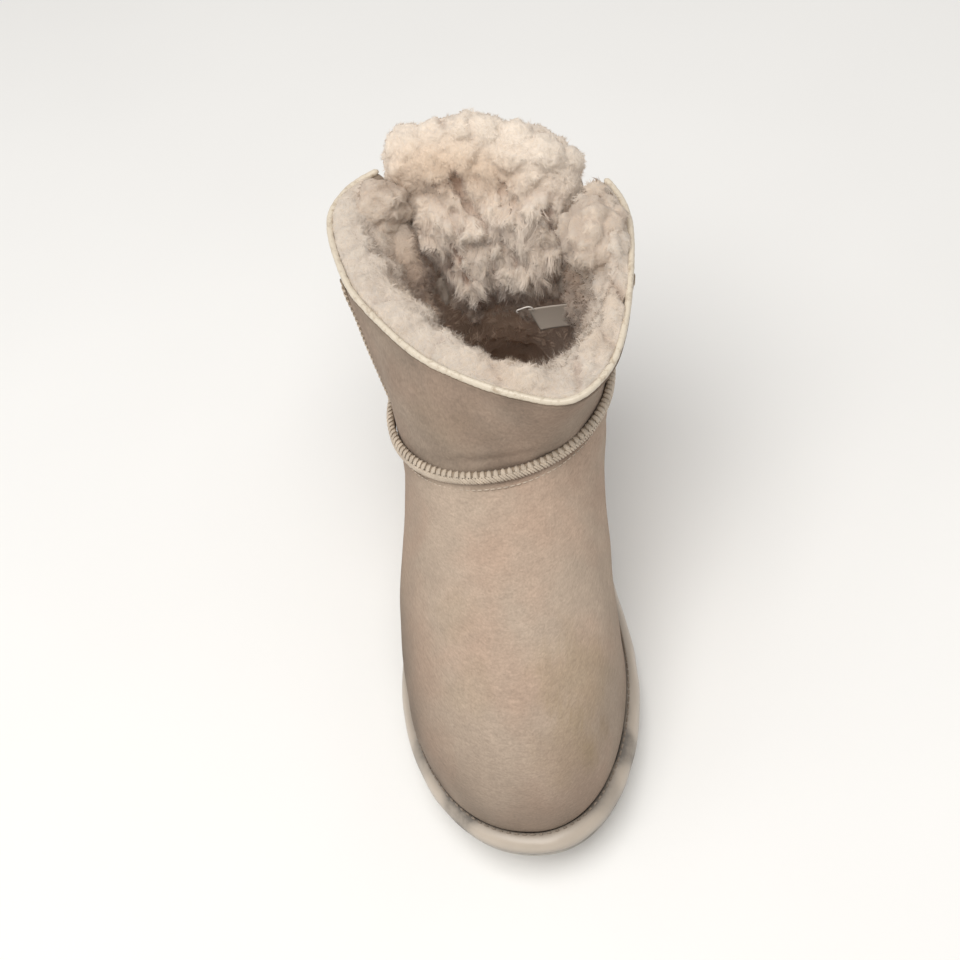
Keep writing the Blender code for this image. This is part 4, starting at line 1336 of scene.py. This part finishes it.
        # Painted shade in the creases between the puffs
        pelt.deep = .14 * (pelt.puffs(10, 1.7, seed + 1) + pelt.puffs(4.5, .5, seed + 2))
        pelt.warm[:] = .25
        pelt.flow[:] = (0, -.1, -.3)
        skin = build(f"{name}_skin", pelt.points, [quads(*pelt.shape)], material)
        closed_up(fleecy(skin, pelt.normals, "short_pile", deep=pelt.deep, warm=pelt.warm))
        wool(f"{name}_pile", "short_pile", pelt, count, seed + 3, material, **cotton)


# How the back panel's fleece spills out of the shape of its solid: u, t, their reaches, and x, y, z in mm
BACK_PULLS = (
    (.00, 8.0, .30, 2.6, -4.5, 0, 6.5),
    (.115, 8.0, .045, 2.2, -11.0, 0, 1.5),
    (.115, 9.8, .035, 1.6, -6.0, -2, 0),
    (.11, 11.3, .04, 1.3, -5.0, -2, 0),
    (-.12, 8.4, .03, 2.6, 8.0, 0, 0),
    (-.12, 12.2, .03, 1.0, 8.0, -1, 0),
    (-.06, 12.0, .05, .8, 0, -3, 0),
    (.05, 12.2, .05, .8, 0, -3, 0),
    (.00, 14.0, .30, .9, 0, 9, 0),
)

# Creases between the locks of the back: path of u and t, half width, depth in mm, and the painted shade in
# them
BACK_FURROWS = (
    (((.033, 10.3), (.035, 10.55), (.027, 10.9), (.015, 11.1), (.0, 11.4), (-.002, 11.75), (-.004, 12.1),
      (-.005, 12.5), (.003, 12.9)), 1.5, 3.6, .32),
    (((.07, 10.4), (.05, 10.4), (.035, 10.35)), 1.1, 1.8, .35),
    (((.035, 10.2), (.034, 10.5)), 1.1, 2.0, .45),
    (((.072, 11.8), (.068, 12.1), (.063, 12.4)), 2.2, 3.4, .8),
    (((.088, 12.1), (.082, 12.5), (.072, 12.9), (.062, 13.3)), 2.2, 4.0, 1.0),
    (((-.03, 10.35), (-.035, 10.6), (-.03, 10.9)), 1.2, 1.6, .15),
    (((-.056, 10.4), (-.058, 10.7), (-.05, 11.0)), 1.2, 1.6, .15),
    (((-.055, 11.7), (-.05, 12.3), (-.045, 13.0)), 1.6, 3.0, .4),
    (((-.098, 11.1), (-.103, 11.6), (-.108, 12.1), (-.112, 12.7)), 1.8, 3.4, .7),
    (((.05, 11.0), (.045, 11.5), (.035, 11.9)), 1.3, 2.2, .15),
    (((-.01, 11.3), (-.02, 11.7), (-.035, 11.8)), 1.3, 2.0, .2),
    (((.03, 7.4), (.028, 7.9), (.03, 8.3)), 1.6, 2.0, .2),
)


# Fibres on each of the two coats of the back, and in its long locks
BACK_FIBRES = 36500
LOCK_FIBRES = 7000


class BOOT_OT_back_fleece(Piece, bpy.types.Operator):
    """Make the deep curly pile of the back panel"""
    bl_idname = "boot.back_fleece"
    bl_label = "Back Fleece"

    def make(self, sizes, colours):
        # Painted light: the back's curly pile is scaled to .93 of its tone, lighter than the front's, for its
        # face gets less light
        material = fleece_finish(colours, "Shorn fleece, curly", .2, .93)
        inner, outer = INNER_SLIT - 1 + .012, OUTER_SLIT - .012
        u = np.linspace(inner, outer, 190)
        side = np.minimum(u - inner, outer - u) / (outer - inner) * 2
        full = .7 + .3 * smooth(side / .4)
        tall = 1 - smooth(1 - side) * np.where(u > 0, .1, .35)
        ring, t = ring_of(BACK_SECTION)
        rows = [pile(v, u, depth * (full if depth > 0 else 1), rise * tall) for v, depth, rise in ring]
        pelt = Pelt(np.array(rows), u, t)
        pelt.pull(BACK_PULLS)
        pelt.rounded(.03)
        # No wool grows on the side that lies on the wall, but it spills out at the two slits
        v, depth, rise = ring.T
        corner = smooth((v - 8.6) / .15)[:, None] * np.exp(-(side / .45) ** 2)
        shown = pelt.by_row(np.maximum(smooth((depth - 3) / 4), smooth((rise - .8) / 1.2)))
        shown = np.maximum(shown, .8 * corner)
        pelt.dense = shown.copy()
        pelt.swell(2.0 * mottle(pelt.points, 26, 71) * shown)
        for furrow in BACK_FURROWS:
            pelt.furrow(*furrow)
        # Large puffs all over, and small ones on them, most of all on the face that looks into the shaft
        face = pelt.by_row(smooth((t - 9.6) / 1.2))
        small = shown * (.4 + .6 * face)
        crease = pelt.puffs(12, 1.7, 72, shown)
        crease = crease + pelt.puffs(6.5, 1.2, 73, small) + .5 * pelt.puffs(3.6, .55, 77, small)
        low = pelt.by_row(smooth((t - 12.6) / .8))
        # Painted shade in the creases between the puffs, more on the face, and low down
        pelt.deep = np.clip(pelt.deep + (.06 + .06 * face) * crease + .3 * low, 0, 1)
        pelt.warm = np.clip(pelt.near(.05, 9.8, .06, 1.0) * .6 + pelt.near(-.03, 10.2, .05, .7) * .4, 0, 1)
        pelt.skin("back_fleece_skin", material, "curly_pile", "back_fleece")
        pelt.flow = inward(u) * .2 + np.array((0, 0, -.9)) * face[..., None]
        cotton = dict(COTTON, wide=sizes.fibre / MM)
        for number in range(2):
            wool(f"back_cotton_{number}", "curly_pile", pelt, BACK_FIBRES, 74 + number, material, **cotton)
        # Long locks hang from the face only
        pelt.dense = smooth((t - 10.6) / 1.2)[:, None] * (1 - low)
        pelt.long = pelt.long * (.7 + .3 * smooth((t - 11) / 1.5)[:, None])
        locks = dict(LOCKS, reach=sizes.long_pile / MM, wide=sizes.fibre / MM * 1.15)
        wool("back_locks", "curly_pile", pelt, LOCK_FIBRES, 76, material, **locks)


INSOLE_FIBRES = 6000
INSOLE_MARGIN = 3.6     # from the section of the last that it lies in, mm


class BOOT_OT_insole(Piece, bpy.types.Operator):
    """Make the sheepskin insole"""
    bl_idname = "boot.insole"
    bl_label = "Insole"

    def make(self, sizes, colours):
        material = fleece_finish(colours, "Shorn fleece, trodden", .1)
        half = np.linspace(.012, .488, 84)
        left, s = section(LAST["base"], half, INSOLE_MARGIN)
        right, _ = section(LAST["base"], 1 - half, INSOLE_MARGIN)
        across = np.linspace(0, 1, 30)
        top = left[:, None] * (1 - across)[None, :, None] + right[:, None] * across[None, :, None]
        level = SOLE_TOP + top_rise(s)[:, None]
        bottom = top.copy()
        bottom[..., 2] = level + GAP
        rim = np.minimum(1, 12 * np.minimum(across, 1 - across))
        trodden = .35 * mottle(top, 9, 81) + .2 * mottle(top, 4, 82)
        top[..., 2] = level + INSOLE_THICK - .6 + .6 * rim + trodden
        sock = slab("insole_sock", top, bottom, material)
        # Painted shade: the insole, deep in the boot, is darkened toward the crease brown and held near its
        # root tone
        fleecy(sock, (0.0, 0.0, 1.0), "insole_pile", "insole", tip=.5, deep=.5, warm=.5)
        pelt = Pelt(top, across, half)
        pelt.normals = np.abs(pelt.normals) * (0, 0, 1) + pelt.normals * (1, 1, 0) * .2
        # Painted shade on the insole's fibres too
        pelt.deep[:] = .4
        pelt.warm[:] = .5
        plush = dict(PLUSH, reach=3.2, wide=.6)
        wool("insole_pile_fur", "insole_pile", pelt, INSOLE_FIBRES, 83, material, **plush)


LINING_FIBRES = 9500
LINING_SPAN = (.25, 8.55)       # sections of the last, from the insole to the collar's own pile


class BOOT_OT_lining(Piece, bpy.types.Operator):
    """Make the fleece that lines the foot and the shaft"""
    bl_idname = "boot.lining"
    bl_label = "Lining"

    def make(self, sizes, colours):
        material = fleece_finish(colours, "Shorn fleece, lining", .1)
        places = np.arange(120) / 120
        rows = np.linspace(*LINING_SPAN, 56)
        v, u = np.meshgrid(rows, places, indexing="ij")
        out = normal(v, u)
        back = proud(v, u, -(WALL + .2))
        face = proud(v, u, -(WALL + (3.6 + 1.2 * smooth((v - 4) / 3))))
        face = face + out * (.7 * mottle(face, 10, 91) + .4 * mottle(face, 5, 92))[..., None]
        grid = np.concatenate([back, face[::-1]])
        skin = build("lining_skin", grid, [quads(*grid.shape[:2], (True, True))], material)
        # Painted shade: the lining, inside the boot, is darkened toward the crease brown and held near its
        # root tone
        fleecy(skin, -out, "short_pile", tip=.4, deep=.6, warm=.3)
        pelt = Pelt(face[:, ::-1], places, rows)
        pelt.dense = (smooth(v - 4.5) * smooth(.84 - np.abs(gap_round(u, 0))))[:, ::-1]
        # Painted shade on the lining's fibres too
        pelt.deep[:] = .55
        pelt.warm[:] = .3
        pelt.flow[:] = (0, 0, -.5)
        cotton = dict(COTTON, reach=4.5, wide=.42)
        wool("lining_pile", "short_pile", pelt, LINING_FIBRES, 93, material, **cotton)


# Course of the stitch at the label's corner, mm
LABEL_LOOP = ((9.6, -16.4, 120.2), (8.8, -16.4, 120.9), (9.2, -16.4, 121.9), (10.8, -16.4, 122.4),
              (12.6, -16.2, 123.0), (14.6, -15.9, 123.2), (16.2, -15.8, 122.3), (16.6, -15.8, 120.4))
LABEL_THICK = .35


class BOOT_OT_label(Piece, bpy.types.Operator):
    """Make the blank ribbon label sewn into the lining"""
    bl_idname = "boot.label"
    bl_label = "Label"

    def make(self, sizes, colours):
        # A bowed ribbon about 26 mm across and 12.5 mm down, with a slanted end
        across, down = np.meshgrid(np.linspace(0, 1, 25), np.linspace(0, 1, 15))
        x = 14.0 + 26 * across + 4.5 * down * (1 - across)
        y = -15.5 + 1.6 * np.sin(2.4 * across + .3) - 1.4 * down ** 2 + 3 * across ** 3
        z = 120.5 - 12.5 * down - 1.2 * across + .5 * np.sin(3 * across)
        front = np.stack([x, y, z], -1)
        ribbon = slab("inner_label", front + (0, LABEL_THICK, 0), front, label_finish(colours))
        dress(ribbon, "short_pile")
        loop, t = np.array(LABEL_LOOP), np.linspace(0, 1, 26)
        path = np.stack([np.interp(t, np.linspace(0, 1, len(loop)), line) for line in loop.T], -1)
        for _ in range(3):
            path[1:-1] = (path[:-2] + 2 * path[1:-1] + path[2:]) / 4
        thread = thread_finish("White sewing thread", colours.label_thread)
        stitch = dress(tubes("label_stitch", path[None], (0, -1, .3), .32, .32, thread), "short_pile")


# Rings of the sole from its tread up: how far in they lie, their share of the side's height, and mm above it
SOLE_RINGS = (
    (TREAD_INSET, 0, 0), (SIDE_INSET + 2.2, .04, .1), (SIDE_INSET + .8, .15, .6), (SIDE_INSET, .5, -.5),
    (SIDE_INSET + SIDE_STEP, .5, .2), (SIDE_INSET, .5, .9), (SIDE_INSET, 1, -.6), (SIDE_INSET + .8, 1, 0),
)


class BOOT_OT_sole(Piece, bpy.types.Operator):
    """Make the foam sole with its stepped side and cross grooves"""
    bl_idname = "boot.sole"
    bl_label = "Sole"

    def make(self, sizes, colours):
        count = sizes.columns
        middle = count // 2
        u = np.arange(count) / count
        grid = np.array([self.ring(u, *row) for row in SOLE_RINGS])
        # The tread and the upper face: rungs from side to side, and a triangle at the heel and at the toe
        k = np.arange(1, middle - 1)
        rungs = np.stack([k, k + 1, count - k - 1, count - k], 1)
        ends = np.array([(0, 1, count - 1), (middle - 1, middle, middle + 1)])
        top = (len(SOLE_RINGS) - 1) * count
        lids = [rungs, rungs[:, ::-1] + top, ends, ends[:, ::-1] + top]
        faces = quads(len(grid), count, (False, True))
        sole = faced_out(build("foam_sole", grid, [faces, *lids], foam_finish(colours)))
        self.grooves(sole)
        sole.data.set_sharp_from_angle(angle=math.radians(40))
        dress(sole, "foam_sole", "outsole")

    def ring(self, u, inset, share, extra):
        """A ring of the side, a share of the way up from the tread. At the toe the lower ones lie back."""
        ring, s = section(SOLE_EDGE, u, inset)
        tuck = TOE_TUCK * smooth((s - SPRING_START) / 50)[:, None] * (share < .9)
        ring = ring * (1 - tuck) + section(SOLE_EDGE, u, inset + TUCK_DEPTH)[0] * tuck
        under = tread_rise(s)
        ring[:, 2] = under + (SOLE_TOP + top_rise(s) - under) * share + extra
        return ring

    def grooves(self, sole):
        """Cut the cross grooves of the heel and the forefoot."""
        tall = 12.0
        cutters = bpy.data.collections.new("Grooves")
        outline = section(SOLE_EDGE, np.linspace(0, 1, 400))[0]
        for s in (FIRST_GROOVE + GROOVE_PITCH * k for k in range(GROOVES)):
            if HEEL_FLAT[1] - 6 < s < BALL_FLAT[0]:
                continue
            near = outline[np.abs(outline[:, 1] - (HEEL_BACK - s)) < 3]
            low, high = near[:, 0].min() + GROOVE_MARGIN, near[:, 0].max() - GROOVE_MARGIN
            work = bmesh.new()
            bmesh.ops.create_cube(work, size=1)
            size = Matrix.Diagonal(((high - low) * MM, GROOVE_WIDTH * MM, tall * MM, 1))
            middle = Vector(((low + high) / 2, HEEL_BACK - s, float(tread_rise(s)) + GROOVE_DEPTH - tall / 2))
            work.transform(Matrix.Translation(middle * MM) @ size)
            mesh = bpy.data.meshes.new("groove")
            work.to_mesh(mesh)
            work.free()
            cutters.objects.link(bpy.data.objects.new("groove", mesh))
        cut = sole.modifiers.new("Grooves", "BOOLEAN")
        cut.operand_type = "COLLECTION"
        cut.collection = cutters
        cut.solver = "EXACT"
        evaluated(sole)
        for thing in list(cutters.objects):
            bpy.data.objects.remove(thing)
        bpy.data.collections.remove(cutters)


# The camera, at the photograph's angle: place and lens in mm, and turns in degrees
CAMERA_PLACE = (82.8, -528.2, 625.3)
CAMERA_ELEVATION = 49.92
CAMERA_AZIMUTH = 11.79
CAMERA_ROLL = -12.43
CAMERA_LENS = 60
# The soft panels: place and width in metres, and watts
LIGHTS = (("Ceiling panel", (-.15, -.52, 1.45), 1.3, 18.2), ("Window", (-1.4, -.7, .9), 1.0, 2.5))
LIGHTS_AIM = (0, -.06, .06)
ROOM_STRENGTH = .46
FLOOR_HALF = 4000.0


class BOOT_OT_stage(Piece, bpy.types.Operator):
    """Make the floor, the soft light and the camera"""
    bl_idname = "boot.stage"
    bl_label = "Stage"

    def make(self, sizes, colours):
        scene = bpy.context.scene
        corners = FLOOR_HALF * np.array([(-1, -1, 0), (1, -1, 0), (1, 1, 0), (-1, 1, 0)])
        build("floor", corners, [np.array([[0, 1, 2, 3]])], floor_finish(colours), False)
        scene.view_settings.view_transform = "Standard"
        world = bpy.data.worlds.new("Soft room")
        world.use_nodes = True
        tree = world.node_tree
        join(tree, tree.nodes["Background"], {"Color": (1, .995, .985, 1), "Strength": ROOM_STRENGTH})
        scene.world = world
        for panel in LIGHTS:
            self.light(*panel)
        self.camera(scene)

    def light(self, name, place, size, power):
        panel = bpy.data.lights.new(name, "AREA")
        panel.shape = "SQUARE"
        panel.size = size
        panel.energy = power
        panel.color = (1, .985, .96)
        lamp = bpy.data.objects.new(name, panel)
        lamp.location = place
        lamp.rotation_euler = (Vector(LIGHTS_AIM) - lamp.location).to_track_quat("-Z", "Y").to_euler()
        bpy.context.scene.collection.objects.link(lamp)

    def camera(self, scene):
        high, turn = math.radians(CAMERA_ELEVATION), math.radians(CAMERA_AZIMUTH)
        back = Vector((math.sin(turn) * math.cos(high), -math.cos(turn) * math.cos(high), math.sin(high)))
        right = (-back).cross(Vector((0, 0, 1))).normalized()
        level = Matrix((right, back.cross(right), back)).transposed().to_4x4()
        seen = bpy.data.objects.new("Camera", bpy.data.cameras.new("Camera"))
        seen.data.lens = CAMERA_LENS
        seen.matrix_world = (Matrix.Translation(Vector(CAMERA_PLACE) * MM) @ level
                             @ Matrix.Rotation(math.radians(CAMERA_ROLL), 4, "Z"))
        scene.collection.objects.link(seen)
        scene.camera = seen


STEPS = (
    BOOT_OT_stage, BOOT_OT_suede, BOOT_OT_rand, BOOT_OT_ankle_seam, BOOT_OT_side_seams, BOOT_OT_binding,
    BOOT_OT_sole, BOOT_OT_insole, BOOT_OT_lining, BOOT_OT_label, BOOT_OT_front_fleece, BOOT_OT_back_fleece,
)


class BOOT_PT_panel(bpy.types.Panel):
    """The boot's sizes, colours and steps"""
    bl_idname = "BOOT_PT_panel"
    bl_label = "Sheepskin Boot"
    bl_space_type = "VIEW_3D"
    bl_region_type = "UI"
    bl_category = "Boot"

    def draw(self, context):
        for group in (context.scene.boot_sizes, context.scene.boot_colours):
            box = self.layout.box()
            for name in group.__annotations__:
                box.prop(group, name)
        for step in STEPS:
            self.layout.operator(step.bl_idname)


CLASSES = (BootSizes, BootColours, *STEPS, BOOT_PT_panel)


def register():
    for kind in CLASSES:
        bpy.utils.register_class(kind)
    bpy.types.Scene.boot_sizes = PointerProperty(type=BootSizes)
    bpy.types.Scene.boot_colours = PointerProperty(type=BootColours)


def unregister():
    del bpy.types.Scene.boot_colours
    del bpy.types.Scene.boot_sizes
    for kind in reversed(CLASSES):
        bpy.utils.unregister_class(kind)


def main():
    register()
    for step in STEPS:
        group, name = step.bl_idname.split(".")
        getattr(getattr(bpy.ops, group), name)()


if __name__ == "__main__":
    main()
